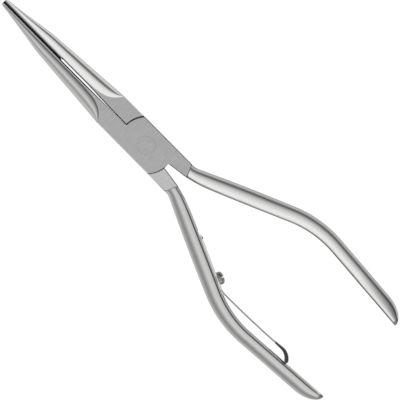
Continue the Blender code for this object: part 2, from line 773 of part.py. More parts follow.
def spring_sleeve(carrier):
    """Black sleeve over the leaf's hooked end, thin where it starts and thick at its rounded tip."""
    start = LEAF_LENGTH - SLEEVE_LENGTH
    width = LEAF_WIDTH + 2 * (SLEEVE_SIDE_WALL + SLEEVE_CLEARANCE)
    growth = SLEEVE_END_THICKNESS - SLEEVE_START_THICKNESS
    rings = []
    for share in np.linspace(0.0, 1.0, SLEEVE_STEPS + 1):
        thickness = SLEEVE_START_THICKNESS + growth * float(smooth_table(SLEEVE_SHARES, share)[0])
        rings.append(sleeve_ring(start + share * SLEEVE_LENGTH, thickness, width))
    for ahead, full in SLEEVE_TIP_SHARES:
        narrow = width - SLEEVE_END_THICKNESS * (1.0 - full)
        rings.append(sleeve_ring(LEAF_LENGTH + SLEEVE_TIP_WALL * ahead, SLEEVE_END_THICKNESS * full, narrow))
    made = piece("spring_sleeve", loft_mesh("spring_sleeve", rings), BLACK_PLASTIC)
    made.parent = carrier
    room = LEAF_THICKNESS + 2 * SLEEVE_CLEARANCE
    pocket = leaf_strip(
        "sleeve_pocket",
        start - SLEEVE_CLEARANCE,
        LEAF_LENGTH + SLEEVE_CLEARANCE,
        LEAF_WIDTH + 2 * SLEEVE_CLEARANCE,
        (room, room),
        SLEEVE_STEPS,
    )
    combine(made, cutter(pocket.name, pocket, carrier))
    return made


# The tool

clear_scene()
PARTS = new_collection("fish_bone_tweezers")
CUTTERS = new_collection("cutters")

front_half = half("front_half", 0.0)
front_half.location.z = HALF_THICKNESS
pivot_rivet()

rear_half = half("rear_half", 0.5)
rear_half.location.z = HALF_THICKNESS
rear_half.rotation_euler.y = math.pi
mill_spring_seat(rear_half)
spring = leaf_spring(rear_half)
spring_screw(rear_half, spring)
locating_pin(rear_half, spring)
spring_sleeve(rear_half)

for made in list(PARTS.objects) + list(CUTTERS.objects):
    shade(made.data, SHARP_ANGLE)
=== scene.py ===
"""Fish bone tweezers in forged steel, laid out as an add-on and run as a script.

Metres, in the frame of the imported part: the pivot axis is Z, the jaws point along +Y. Each half is worked out
about its own mid plane, with its jaw at -X and its handle at +X; the rear half is the same form turned over.
"""

import math

import bmesh
import bpy
import numpy as np
from bpy.props import FloatProperty, FloatVectorProperty, PointerProperty
from mathutils import Matrix, Vector


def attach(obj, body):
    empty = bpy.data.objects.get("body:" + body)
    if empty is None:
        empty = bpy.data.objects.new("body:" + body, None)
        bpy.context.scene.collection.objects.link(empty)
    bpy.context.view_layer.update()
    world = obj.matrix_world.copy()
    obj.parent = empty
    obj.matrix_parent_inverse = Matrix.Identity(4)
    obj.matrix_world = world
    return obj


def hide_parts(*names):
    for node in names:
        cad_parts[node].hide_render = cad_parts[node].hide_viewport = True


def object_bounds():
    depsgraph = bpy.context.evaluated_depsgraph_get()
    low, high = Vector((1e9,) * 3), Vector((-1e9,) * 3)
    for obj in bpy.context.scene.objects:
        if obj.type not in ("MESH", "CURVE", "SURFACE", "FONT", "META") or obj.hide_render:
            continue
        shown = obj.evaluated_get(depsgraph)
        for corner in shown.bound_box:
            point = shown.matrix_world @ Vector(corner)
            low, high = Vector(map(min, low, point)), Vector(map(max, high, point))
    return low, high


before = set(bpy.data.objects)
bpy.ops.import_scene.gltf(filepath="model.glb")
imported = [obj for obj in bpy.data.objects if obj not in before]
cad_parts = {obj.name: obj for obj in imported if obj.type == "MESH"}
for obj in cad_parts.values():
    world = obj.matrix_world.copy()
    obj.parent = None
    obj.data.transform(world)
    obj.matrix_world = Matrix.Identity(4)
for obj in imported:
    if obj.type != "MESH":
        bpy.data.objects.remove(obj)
CAD_BOX = [list(corner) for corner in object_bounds()]

bl_info = {
    "name": "Fish Bone Tweezers",
    "version": (1, 0, 0),
    "blender": (4, 5, 0),
    "location": "View3D > Sidebar > Tweezers",
    "description": "Builds the forged halves, the rivet, the sprung leaf and a plain studio stage",
    "category": "Add Mesh",
}

FRONT_BODY = "front_body"
REAR_BODY = "rear_body"

# Lap joint and rivet
SHOULDER_CLEARANCE = 0.0005
RECESS_SHIFT = 0.00035
LAP_CLEARANCE = 0.0002
CROTCH_X = 0.0011
CROTCH_FILLET = 0.0008
EDGE_BREAK = 0.0003
SHOULDER_BAR_OVERRUN = 0.00037
PLATE_ARC_STEPS = 40
RIVET_HEAD_DEPTH = 0.0012
RIVET_CLEARANCE = 0.00005
RIVET_EDGE = 0.00006

# Jaws
JAW_SHOULDER = 0.02
JAW_INSIDE_PLATE = 0.008
FLAT_RUN_OUT = 0.0036
INNER_STRIP = 0.00105
CREASE_ANGLE = 26.0
CROWN_PLACE_SHARE = 0.47
FLAT_WIDEST_SHARE = 0.97
JAW_SQUARENESS = 2.1
JAW_STEPS = 150
JAW_SPACING_POWER = 1.5
JAW_RISE_STEPS = 8
JAW_SIDE_STEPS = 22

# Gripping faces; pairs of values are for the front and the rear half
BITE_GAP = 0.00004
RELIEF_GAPS = (0.0002, 0.0005)
RELIEF_ROOT_GAP = 0.00006
RELIEF_NECK_GAP = 0.00008
RELIEF_NECK_END = 0.019
RELIEF_WIDE_START = 0.034
RELIEF_STEP = 0.0004
RELIEF_CHAMFER_WIDTHS = (0.00045, 0.00035)
RELIEF_ROOT_CHAMFER_WIDTHS = (0.0001, 0.00045)
GRIP_CHAMFER_WIDTH = 0.00055
GRIP_CHAMFER_DEPTH = 0.001

# Handles
HANDLE_START_Y = -0.0096
HANDLE_SPLAY = 23.6
HANDLE_SHOULDER = 0.0108
HANDLE_TO_BEND = 0.044
HANDLE_BEND_RADIUS = 0.046
HANDLE_BEND_TURN = 27.75
HANDLE_TO_END = 0.0389
HANDLE_ROOT_THICKNESS = 0.0062
HANDLE_END_THICKNESS = 0.0052
HANDLE_INSIDE_ROOT = 0.0015
HANDLE_END_ROUND = 0.0102
HANDLE_END_CUT = 0.0003
HANDLE_CROWN_SHIFT = 0.0002
HANDLE_SQUARENESS = 2.35
HANDLE_STEPS = 190
HANDLE_END_STEPS = 44
HANDLE_SIDES = 128
END_THINNING_SHARE = 0.35

# Leaf spring, along the handle from its shoulder
LEAF_START = 0.021
LEAF_TO_BEND = 0.0232
LEAF_BEND_RADIUS = 0.006
LEAF_FREE_TURN = 4.0
LEAF_HOOK_RADIUS = 0.0056
LEAF_HOOK_TURN = 57.0
LEAF_REACH = 0.08467
LEAF_EDGE = 0.00012
LEAF_STEPS = 260
LEAF_FIT_ROUNDS = 30
SEAT_GAP = 0.0001
SEAT_DEPTH = 0.00025
SEAT_MARGIN = 0.002

# Spring screw and locating pin
SCREW_DISTANCE = 0.0399
SCREW_SHANK_RADIUS = 0.0012
SCREW_SHANK_LENGTH = 0.0042
SCREW_HEAD_ROUND = 0.0011
SCREW_CROWN = 0.0003
SCREW_SLOT_WIDTH = 0.0006
SCREW_SLOT_DEPTH = 0.001
SCREW_SIDES = 96
SCREW_CROWN_STEPS = 8
SCREW_ROUND_STEPS = 15
PIN_FROM_LEAF_END = 0.0014
PIN_RADIUS = 0.00055
PIN_LENGTH = 0.0026
PIN_STANDOUT = 0.0003
PIN_EDGE = 0.00012
PIN_SIDES = 48
HOLE_CLEARANCE = 0.0001
HOLE_SIDES = 64

# Sleeve on the leaf's free end
SLEEVE_START_THICKNESS = 0.0009
SLEEVE_END_THICKNESS = 0.0016
SLEEVE_SIDE_WALL = 0.0005
SLEEVE_TIP_WALL = 0.0009
SLEEVE_CLEARANCE = 0.00006
SLEEVE_REST_GAP = 0.00007
SLEEVE_SQUARENESS = 3.0
SLEEVE_SIDES = 56
SLEEVE_STEPS = 90
SLEEVE_TIP_STEPS = 18

CUT_OVERRUN = 0.001
TURNED_SIDES = 128
WELD_DISTANCE = 0.0000005
SHARP_ANGLE = 12.0

# Share of the way from the jaw's shoulder to its tip, share of half the joint's width
JAW_OUTLINE_SHARES = (
    (0.0, 1.0), (0.166, 0.895), (0.33, 0.80), (0.50, 0.70), (0.62, 0.625), (0.73, 0.497),
    (0.83, 0.378), (0.93, 0.268), (0.975, 0.225), (0.993, 0.20), (1.0, 0.165),
)
# Share of the handle's length, then outer and inner offsets as shares of half its width
HANDLE_SHARES = (
    (0.0, 1.083, 0.636), (0.014, 0.925, 0.697), (0.029, 0.888, 0.780), (0.057, 0.909, 0.885),
    (0.095, 0.936, 0.950), (0.17, 0.985, 0.985), (0.34, 1.0, 1.0), (0.42, 0.985, 0.985),
    (0.52, 0.955, 0.955), (0.63, 0.91, 0.91), (0.81, 0.905, 0.905), (1.0, 0.885, 0.885),
)
# Quarter section of the handle's bevelled side: share of the quarter turn, then reach and height
BEVEL_SHARES = (
    (0.0, 0.0, 1.0), (0.15, 0.20, 0.997), (0.3, 0.36, 0.985), (0.42, 0.46, 0.971), (0.5, 0.53, 0.955),
    (0.6, 0.64, 0.907), (0.66, 0.70, 0.868), (0.8, 0.83, 0.762), (0.88, 0.935, 0.675),
    (0.94, 0.985, 0.57), (0.97, 1.0, 0.4), (1.0, 1.0, 0.0),
)
# Share of the sleeve's length, share of the way from its start thickness to its end thickness
SLEEVE_SHARES = ((0.0, 0.0), (0.3, 0.25), (0.6, 0.85), (1.0, 1.0))

# Painted shade: how much darker the colour of a half is painted by which way its surface leans from the light,
# as rows of a lean and a share; a lean is the surface's turn from level towards one side, as a share of a right
# angle; pairs of values are for the front and the rear half. The satin rows make the painted flank rougher; a
# share below zero paints light
FLANK_SHADE_SHARES = (
    (-0.09, 0.0), (0.0, 0.1), (0.06, 0.4), (0.13, 0.6), (0.22, 0.7),
    (0.36, 0.62), (0.50, 0.38), (0.67, 0.1), (1.0, 0.05),
)
FLANK_SHADE_STRENGTHS = (0.86, 1.0)
SATIN_SHARES = ((-0.12, 0.0), (0.0, 1.0))
OUTER_SHADE_SHARES = ((0.42, 0.0), (0.55, 0.3))
INNER_EDGE_SHADE_SHARES = ((0.5, 0.0), (0.72, 0.8))
BEVEL_LINE_SHADE_SHARES = ((-0.4, -0.1), (-0.36, 0.15), (-0.32, 0.66), (-0.23, 0.55), (-0.16, 0.0))
BEVEL_LINE_LEAN = -0.15
END_SHADE_LEAN_SHARES = ((-0.35, 0.0), (0.0, 1.0), (0.25, 1.0), (0.4, 0.0))
# Painted shade along a half, darker near the handle's end and tip and along the relief slot's rims, by metres
# from the handle's end, shares of its end round, and shares of the jaw's shoulder
END_SHADE_SHARES = ((0.004, 0.6), (0.024, 0.0))
TIP_SHADE_SHARES = ((0.12, 0.7), (0.2, 0.0))
RIM_SHADE_SHARES = ((0.9, 0.0), (1.2, 0.85))
# Painted shade on the broken edges and along the shoulder
BROKEN_EDGE_SHADE = 0.85
SHOULDER_EDGE_SHADES = (0.68, 0.6)
# Painted light on the rear half's root piece: a share below zero lightens its colour
ROOT_PIECE_LIGHT = -0.25

# Limits by which the parts of a half are told apart; facings are cosines
HANDLE_FINISH_Y = 1.8 * HANDLE_START_Y
FLAT_FINISH_Y = 2 * HANDLE_START_Y
EDGE_MARGIN = 1.2
ROOT_EDGE_MARGIN = 0.1
SIDE_EDGE_SHARE = 0.96
ROOT_PIECE_LAP_SHARE = -0.4
EDGE_FACINGS = (0.3, 0.95)
SHOULDER_EDGE_FACING = 0.5
LEVEL_FACING = 0.998
LEVEL_TOLERANCE = 0.00004
STEEP_FACING = 0.9
WALL_FACING = 0.95
WALL_MARGIN = 1.9
LEAF_EDGE_FACING = 0.6


# Sizes and finishes that a user would change


def length_size(name, description, default):
    """Length property, shown to a hundredth of a millimetre."""
    return FloatProperty(name=name, description=description, default=default, unit="LENGTH", precision=5)


def finish_colour(name, description, default):
    """Colour property."""
    return FloatVectorProperty(
        name=name, description=description, default=default, subtype="COLOR", size=3, min=0.0, max=1.0)


def finish_share(name, description, default):
    """Property between 0 and 1."""
    return FloatProperty(
        name=name, description=description, default=default, subtype="FACTOR", min=0.0, max=1.0)


class TweezersSizes(bpy.types.PropertyGroup):
    """Driving sizes of the tweezers."""

    joint_width: length_size("Joint Width", "Width of the lap joint", 0.0152)
    joint_thickness: length_size("Joint Thickness", "Both lap plates together", 0.007)
    lap_radius: length_size("Lap Radius", "Round ends of the lap plates", 0.0111)
    rivet_radius: length_size("Rivet Radius", "Flush end of the rivet", 0.0036)
    shank_radius: length_size("Rivet Shank", "Radius of the rivet's shank", 0.0024)
    jaw_length: length_size("Jaw Length", "From the pivot to the tip", 0.0803)
    tip_thickness: length_size("Tip Thickness", "Thickness of the jaws at the tip", 0.0032)
    toothed_length: length_size("Toothed Length", "Length of the teeth", 0.032)
    tooth_pitch: length_size("Tooth Pitch", "Distance between teeth", 0.0012)
    tooth_depth: length_size("Tooth Depth", "Height of the teeth", 0.0006)
    handle_width: length_size("Handle Width", "Width of a handle at its widest", 0.0066)
    leaf_thickness: length_size("Leaf Thickness", "Thickness of the leaf spring", 0.0005)
    leaf_width: length_size("Leaf Width", "Width of the leaf spring", 0.0046)
    screw_head_radius: length_size("Screw Head Radius", "Radius of the screw's head", 0.0026)
    screw_head_height: length_size("Screw Head Height", "Height of the screw's head", 0.0024)
    sleeve_length: length_size("Sleeve Length", "Length of the sleeve on the leaf", 0.0088)


class TweezersFinishes(bpy.types.PropertyGroup):
    """Colours and finishes of the tweezers and the stage."""

    polished_colour: finish_colour("Polished Steel", "Colour of the rounded steel", (0.63, 0.63, 0.625))
    ground_colour: finish_colour("Ground Steel", "Colour of the flat ground steel", (0.405, 0.405, 0.405))
    spring_colour: finish_colour("Spring Steel", "Colour of the leaf", (0.66, 0.66, 0.65))
    screw_colour: finish_colour("Screw Steel", "Colour of the screw and pin", (0.24, 0.24, 0.24))
    # Near black: painted shade in the groove between the closed jaws; four times lighter, it paints the shade
    # in the lap's seam and recess
    recess_shade_colour: finish_colour("Toothed Steel", "Colour of the rough gripping faces", (0.05, 0.05, 0.05))
    sleeve_colour: finish_colour("Sleeve", "Colour of the sleeve", (0.012, 0.012, 0.012))
    polish: finish_share("Polish Roughness", "Roughness of the rounded steel", 0.1)
    grind: finish_share("Ground Roughness", "Roughness of the ground flats", 0.36)
    floor_size: FloatProperty(
        name="Floor Size", description="Side of the square floor", default=6.0, unit="LENGTH")


# Tables, meshes and placing


def smooth_table(rows, at):
    """Read the columns of a table at values of its first column, along cubic curves through the rows."""
    table = np.array(rows)
    x = table[:, 0]
    slopes = np.gradient(table[:, 1:], x, axis=0)
    at = np.clip(np.asarray(at, float), x[0], x[-1])
    k = np.clip(np.searchsorted(x, at) - 1, 0, len(x) - 2)
    step = (x[k + 1] - x[k])[:, None]
    t = (at[:, None] - x[k][:, None]) / step
    low, high = table[k, 1:], table[k + 1, 1:]
    ease = t * t * (3 - 2 * t)
    start, end = t * (1 - t) ** 2, t * t * (t - 1)
    return low + (high - low) * ease + step * (slopes[k] * start + slopes[k + 1] * end)


def share_at(places, rows):
    """Read a share at places from rows of a place and a share, straight between the rows."""
    return np.interp(places, *np.array(rows).T)


def superellipse(angle, squareness):
    """Reach across and up, at angles round a superellipse of half size 1: the cosine and the sine, each to
    the power of 2 by the squareness."""
    return [np.sign(side) * np.abs(side) ** (2 / squareness) for side in (np.cos(angle), np.sin(angle))]


def read_values(items, name, width=1, kind=float):
    """Read one property of all the parts of a mesh at once, in rows where it has more than one number."""
    values = np.empty(len(items) * width, kind)
    items.foreach_get(name, values)
    return values.reshape(-1, width) if width > 1 else values


def grid_mesh(name, points):
    """Closed mesh of a grid of rings: each row of points is one ring; the first and last ring are capped."""
    rows, columns, _ = points.shape
    index = np.arange(rows * columns).reshape(rows, columns)
    after = np.roll(index, -1, axis=1)
    quads = np.stack((index[:-1], after[:-1], after[1:], index[1:]), axis=-1).reshape(-1, 4)
    loops = np.concatenate((quads.ravel(), index[0, ::-1], index[-1]))
    totals = np.concatenate((np.full(len(quads), 4), (columns, columns)))
    mesh = bpy.data.meshes.new(name)
    mesh.vertices.add(rows * columns)
    mesh.vertices.foreach_set("co", points.astype(np.float32).ravel())
    mesh.loops.add(len(loops))
    mesh.loops.foreach_set("vertex_index", loops.astype(np.int32))
    mesh.polygons.add(len(totals))
    mesh.polygons.foreach_set("loop_start", (np.cumsum(totals) - totals).astype(np.int32))
    mesh.update(calc_edges=True)
    mesh.validate()
    face_outward(mesh)
    return mesh


def face_outward(mesh):
    """Turn a closed mesh right side out, if its signed volume says that it is inside out."""
    mesh.calc_loop_triangles()
    corners = read_values(mesh.loop_triangles, "vertices", 3, np.int32)
    a, b, c = read_values(mesh.vertices, "co", 3)[corners].transpose(1, 0, 2)
    if (a * np.cross(b, c)).sum() < 0.0:
        mesh.flip_normals()


def welded(mesh):
    """Merge the points that lie together, such as a ring of no radius on the axis."""
    bm = bmesh.new()
    bm.from_mesh(mesh)
    bmesh.ops.remove_doubles(bm, verts=bm.verts, dist=WELD_DISTANCE)
    bm.to_mesh(mesh)
    bm.free()
    return mesh


def plate_mesh(name, outline, bottom, top):
    """Closed plate: the outline is one ring at the bottom and one at the top, joined by its wall."""
    flat = np.asarray(outline, float)
    rings = [np.column_stack((flat, np.full(len(flat), z))) for z in (bottom, top)]
    return grid_mesh(name, np.stack(rings))


def turned_mesh(name, profile, sides=TURNED_SIDES):
    """Turned piece: each radius and height of the profile goes once round Z; both ends stop on the axis."""
    r, z = np.array(profile, float).T[:, :, None]
    angle = np.linspace(0.0, 2 * math.pi, sides, endpoint=False)[None, :]
    places = np.stack((r * np.cos(angle), r * np.sin(angle), z + 0 * angle), axis=-1)
    return welded(grid_mesh(name, places))


def box_mesh(name, size, bottom):
    """Closed box on Z that starts at a height."""
    x, y, z = np.array(size, float) / (2, 2, 1)
    outline = ((-x, -y), (x, -y), (x, y), (-x, y))
    return plate_mesh(name, outline, bottom, bottom + z)


def new_object(name, mesh):
    """Link a new object with a mesh into the scene."""
    made = bpy.data.objects.new(name, mesh)
    bpy.context.scene.collection.objects.link(made)
    return made


def combine(name, base, tools):
    """Join to a mesh, or cut from it, the tools in their order, and return the mesh that is left."""
    target = new_object(name, base)
    used = []
    for mesh, operation in tools:
        tool = new_object(mesh.name, mesh)
        step = target.modifiers.new(mesh.name, "BOOLEAN")
        step.operation = operation
        step.solver = "EXACT"
        step.object = tool
        used.append(tool)
    bpy.context.view_layer.update()
    ready = target.evaluated_get(bpy.context.evaluated_depsgraph_get())
    result = bpy.data.meshes.new_from_object(ready)
    for item in [target] + used:
        bpy.data.objects.remove(item, do_unlink=True)
    result.name = name
    return result


def moved(mesh, matrix):
    """Carry a mesh to its place."""
    mesh.transform(matrix)
    mesh.update()
    return mesh


def shade(mesh, angle=SHARP_ANGLE):
    """Shade a mesh smooth but for the edges sharper than the angle in degrees."""
    mesh.shade_smooth()
    mesh.set_sharp_from_angle(angle=math.radians(angle))


def finished(name, mesh, place, body, node):
    """Carry a finished piece to its place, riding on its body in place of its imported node."""
    moved(mesh, place)
    shade(mesh)
    made = new_object(name, mesh)
    weigh = made.modifiers.new("weighted normals", "WEIGHTED_NORMAL")
    weigh.keep_sharp = True
    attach(made, body)
    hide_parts(node)
    return made


# Routes


class Route:
    """A flat line of straight runs and arcs, headed by an angle from -Y towards +X, read at distances."""

    def __init__(self, start, heading, runs):
        self.lengths = np.array([length for length, _ in runs])
        self.turns = np.array([turn for _, turn in runs])
        self.starts = np.cumsum(self.lengths) - self.lengths
        self.start = start
        self.heading = heading

    def at(self, distances):
        """Points, directions and outward normals: each run adds its chord, and what is past an end runs
        straight."""
        d = np.atleast_1d(np.asarray(distances, float))
        angle = np.full(len(d), self.heading)
        x = np.full(len(d), self.start[0]) + np.minimum(d, 0.0) * math.sin(self.heading)
        y = np.full(len(d), self.start[1]) - np.minimum(d, 0.0) * math.cos(self.heading)
        for start, length, turn in zip(self.starts, self.lengths, self.turns):
            part = np.clip(d - start, 0.0, length)
            swing = turn * part / length
            middle = angle + swing / 2
            chord = part * np.sinc(swing / 2 / math.pi)
            x, y = x + chord * np.sin(middle), y - chord * np.cos(middle)
            angle = angle + swing
        past = np.maximum(d - self.lengths.sum(), 0.0)
        x, y = x + past * np.sin(angle), y - past * np.cos(angle)
        zero = np.zeros(len(d))
        return (
            np.column_stack((x, y, zero)),
            np.column_stack((np.sin(angle), -np.cos(angle), zero)),
            np.column_stack((np.cos(angle), np.sin(angle), zero)),
        )


def sections(route, distances, across, up):
    """Rings along a route: each point stands off by the outward normal, and up by the pivot's axis."""
    point, _, way = route.at(distances)
    places = point[:, None, :] + way[:, None, :] * across[:, :, None]
    places[:, :, 2] = up
    return places


SPLAY = math.radians(HANDLE_SPLAY)
BEND_LENGTH = HANDLE_BEND_RADIUS * math.radians(HANDLE_BEND_TURN)
HANDLE_LENGTH = HANDLE_TO_BEND + BEND_LENGTH + HANDLE_TO_END
HANDLE = Route(
    (HANDLE_SHOULDER * math.sin(SPLAY), HANDLE_START_Y - HANDLE_SHOULDER * math.cos(SPLAY)),
    SPLAY,
    ((HANDLE_TO_BEND, 0.0), (BEND_LENGTH, -math.radians(HANDLE_BEND_TURN)), (HANDLE_TO_END, 0.0)),
)


def handle_offsets(sizes, distances):
    """Outer and inner offsets of the handle's sides from its route, from the table of shares."""
    outer, inner = smooth_table(HANDLE_SHARES, np.atleast_1d(distances) / HANDLE_LENGTH).T
    return sizes.handle_width / 2 * outer, sizes.handle_width / 2 * inner


def seat_offset(sizes):
    """Distance of the spring's milled seat from the handle's route."""
    return float(handle_offsets(sizes, SCREW_DISTANCE)[1][0]) - SEAT_DEPTH


def leaf_runs(sizes, bend, free):
    """The leaf lies along the seat, leaves it at a bend, runs free and hooks back to the handle."""
    point, _, outward = HANDLE.at(LEAF_START)
    start = point[0] - outward[0] * (seat_offset(sizes) + SEAT_GAP + sizes.leaf_thickness / 2)
    hook = math.radians(LEAF_HOOK_TURN)
    runs = (
        (LEAF_TO_BEND, 0.0),
        (LEAF_BEND_RADIUS * bend, -bend),
        (free, -math.radians(LEAF_FREE_TURN)),
        (LEAF_HOOK_RADIUS * hook, hook),
    )
    return Route((start[0], start[1]), SPLAY, runs)


def leaf_route(sizes):
    """The leaf's bend and free run, fitted in rounds: each round turns the free run towards the place beside
    the handle where the sleeve's tip rests."""
    place, along, outward = (row[0] for row in HANDLE.at(LEAF_REACH))
    side = float(handle_offsets(sizes, LEAF_REACH)[1][0]) + SLEEVE_REST_GAP
    bend, free = SPLAY, LEAF_REACH - LEAF_START - LEAF_TO_BEND
    for _ in range(LEAF_FIT_ROUNDS):
        route = leaf_runs(sizes, bend, free)
        end, heading, _ = (row[0] for row in route.at(route.lengths.sum()))
        across = SLEEVE_TIP_WALL * heading.dot(outward)
        ahead = SLEEVE_END_THICKNESS / 2 * heading.dot(along)
        gap = place - outward * (side + math.hypot(across, ahead)) - end
        middle = SPLAY - bend - math.radians(LEAF_FREE_TURN) / 2
        free += gap[0] * math.sin(middle) - gap[1] * math.cos(middle)
        bend -= (gap[0] * math.cos(middle) + gap[1] * math.sin(middle)) / free
    return leaf_runs(sizes, bend, free)


def on_handle(sizes, distance, lift=0.0):
    """Placement on the spring's seat: local Z points away from the handle, local X along the pivot's axis."""
    point, direction, outward = (Vector(row[0]) for row in HANDLE.at(distance))
    place = point - outward * (seat_offset(sizes) + lift)
    axes = Matrix((Vector((0.0, 0.0, 1.0)), -direction, -outward)).transposed()
    return Matrix.Translation(place) @ axes.to_4x4()


def front_place(sizes):
    """The front half's mid plane stands at half the joint's thickness."""
    return Matrix.Translation((0.0, 0.0, sizes.joint_thickness / 2))


def rear_place(sizes):
    """The rear half is turned over about Y."""
    return front_place(sizes) @ Matrix.Rotation(math.pi, 4, "Y")


# Forms of a half


def grip_face(sizes, y, rear):
    """Distance of the gripping side from the middle: a slot that widens in two steps, then room for teeth."""
    toothed = sizes.jaw_length - sizes.toothed_length
    marks = (sizes.lap_radius, RELIEF_NECK_END, RELIEF_WIDE_START, toothed - RELIEF_STEP, toothed)
    full = -sizes.tooth_depth / 2 - BITE_GAP
    root, neck, wide = RELIEF_ROOT_GAP / 2, RELIEF_NECK_GAP / 2, RELIEF_GAPS[rear]
    return -np.interp(y, marks, (root, neck, wide, wide, full))


def tooth_wave(sizes, y, phase):
    """Zigzag of the teeth: up and down once a pitch between root and crest, flat behind the first tooth."""
    start = sizes.jaw_length - sizes.toothed_length
    crest = (sizes.tooth_depth - BITE_GAP) / 2
    count = (y - start) / sizes.tooth_pitch - phase
    wave = 1.0 - np.abs(2 * (count % 1.0) - 1.0)
    return crest - sizes.tooth_depth * (1.0 - np.where(count < 0.0, 0.0, wave))


def grip_chamfer(sizes, y, rear):
    """Width of the chamfer along the gripping side, wider beside the teeth."""
    toothed = sizes.jaw_length - sizes.toothed_length
    root, wide = RELIEF_ROOT_CHAMFER_WIDTHS[rear], RELIEF_CHAMFER_WIDTHS[rear]
    marks = (RELIEF_NECK_END, RELIEF_WIDE_START, toothed - RELIEF_STEP, toothed)
    return np.interp(y, marks, (root, wide, wide, GRIP_CHAMFER_WIDTH))


def crease_x(sizes, y):
    """Place of the crease between the jaw's ground strip and its crown."""
    widest = FLAT_WIDEST_SHARE * sizes.joint_width / 2
    return -INNER_STRIP - (widest - INNER_STRIP) * np.exp(-np.maximum(0.0, y - JAW_SHOULDER) / FLAT_RUN_OUT)


def jaw_surface(sizes, rear):
    """Jaw as rings along Y: toothed gripping face, chamfer, ground strip, crown arc that meets the strip at
    the crease, and a side that falls as a superellipse quarter; the lower half mirrors the upper one."""
    half_width, half = sizes.joint_width / 2, sizes.joint_thickness / 2
    reach = sizes.jaw_length - JAW_SHOULDER
    toothed = sizes.jaw_length - sizes.toothed_length
    phase = rear / 2
    halves = np.arange(0.0, sizes.toothed_length / sizes.tooth_pitch, 0.5)
    teeth = toothed + sizes.tooth_pitch * (phase + halves)
    marks = (JAW_INSIDE_PLATE, sizes.lap_radius, toothed - RELIEF_STEP, toothed, sizes.jaw_length)
    even = JAW_SHOULDER + reach * np.linspace(0.0, 1.0, JAW_STEPS) ** JAW_SPACING_POWER
    y = np.concatenate((marks, even, teeth[teeth < sizes.jaw_length]))
    y = np.unique(y.round(7))
    share = np.maximum(0.0, (y - JAW_SHOULDER) / reach)
    out = half_width * smooth_table(JAW_OUTLINE_SHARES, share)[:, 0]
    flat = np.minimum(-crease_x(sizes, y), FLAT_WIDEST_SHARE * out)
    tall = half + (sizes.tip_thickness / 2 - half) * share
    crown = flat + (out - flat) * CROWN_PLACE_SHARE
    crease = math.radians(CREASE_ANGLE)
    radius = (crown - flat) / math.sin(crease)
    top = tall + radius * (1.0 - math.cos(crease))

    full = grip_face(sizes, y, rear)
    face = np.where(y < toothed - RELIEF_STEP, full, np.minimum(full, tooth_wave(sizes, y, phase)))
    edge = np.minimum(full, 0.0) - grip_chamfer(sizes, y, rear)
    deep = GRIP_CHAMFER_DEPTH * tall / half
    slope = (face - edge) / (full - edge)
    columns = [(face, 0 * y), (face, (tall - deep * slope) / 2), (face, tall - deep * slope), (edge, tall)]
    columns += [((edge * 2 - flat) / 3, tall), ((edge - flat * 2) / 3, tall)]
    for angle in np.linspace(crease, 0.0, JAW_RISE_STEPS + 1):
        columns.append((radius * math.sin(angle) - crown, top - radius * (1.0 - math.cos(angle))))
    for turn in np.linspace(0.0, math.pi / 2, JAW_SIDE_STEPS + 1)[1:]:
        across = math.sin(turn) ** (2 / JAW_SQUARENESS)
        columns.append((-crown - (out - crown) * across, top * math.cos(turn) ** (2 / JAW_SQUARENESS)))
    x = np.column_stack([column[0] for column in columns])
    z = np.column_stack([column[1] + 0 * y for column in columns])
    x = np.concatenate((x, x[:, -2:0:-1]), axis=1)
    z = np.concatenate((z, -z[:, -2:0:-1]), axis=1)
    return np.stack((x, np.broadcast_to(y[:, None], x.shape), z), axis=-1)


def handle_surface(sizes, rear):
    """Handle as rings along its route: a superellipse whose two sides have their own offsets, and whose inner
    side is bevelled on the rear half; near the end the outer side draws in along a quarter circle."""
    round_from = HANDLE_LENGTH - HANDLE_END_ROUND
    even = np.linspace(-HANDLE_INSIDE_ROOT, round_from, HANDLE_STEPS)
    turn = np.linspace(0.0, math.pi / 2, HANDLE_END_STEPS + 1)[1:]
    past = (HANDLE_END_ROUND - HANDLE_END_CUT) * np.sin(turn)
    d = np.concatenate((even, round_from + past))
    outer, inner = handle_offsets(sizes, np.maximum(d, 0.0))
    inside = np.minimum(1.0, 1.0 + d / sizes.handle_width)
    rounding = np.sqrt(1.0 - (np.maximum(0.0, d - round_from) / HANDLE_END_ROUND) ** 2)
    tall = np.interp(d, (0.0, HANDLE_LENGTH), (HANDLE_ROOT_THICKNESS, HANDLE_END_THICKNESS)) / 2
    tall = tall * (1.0 - END_THINNING_SHARE * (1.0 - rounding))
    outer = ((outer + inner) * rounding - inner) * inside
    inner = inner * inside
    angle = np.linspace(0.0, 2 * math.pi, HANDLE_SIDES, endpoint=False)
    across, up = superellipse(angle, HANDLE_SQUARENESS)
    if rear:
        quarter = np.arcsin(np.clip(-np.cos(angle), 0.0, 1.0)) / (math.pi / 2)
        share, reach, height = np.array(BEVEL_SHARES).T
        inner_side = quarter > 0.0
        across = np.where(inner_side, -np.interp(quarter, share, reach), across)
        up = np.where(inner_side, np.sign(np.sin(angle)) * np.interp(quarter, share, height), up)
    middle = (outer - inner)[:, None] / 2 - HANDLE_CROWN_SHIFT * up[None, :] ** 2
    sideways = middle + (outer + inner)[:, None] / 2 * across[None, :]
    return sections(HANDLE, d, sideways, tall[:, None] * up[None, :])


def arc(radius, start, end, steps):
    """Points of an arc about the pivot, angles in radians."""
    angle = np.linspace(start, end, steps + 1)
    return np.column_stack((radius * np.cos(angle), radius * np.sin(angle)))


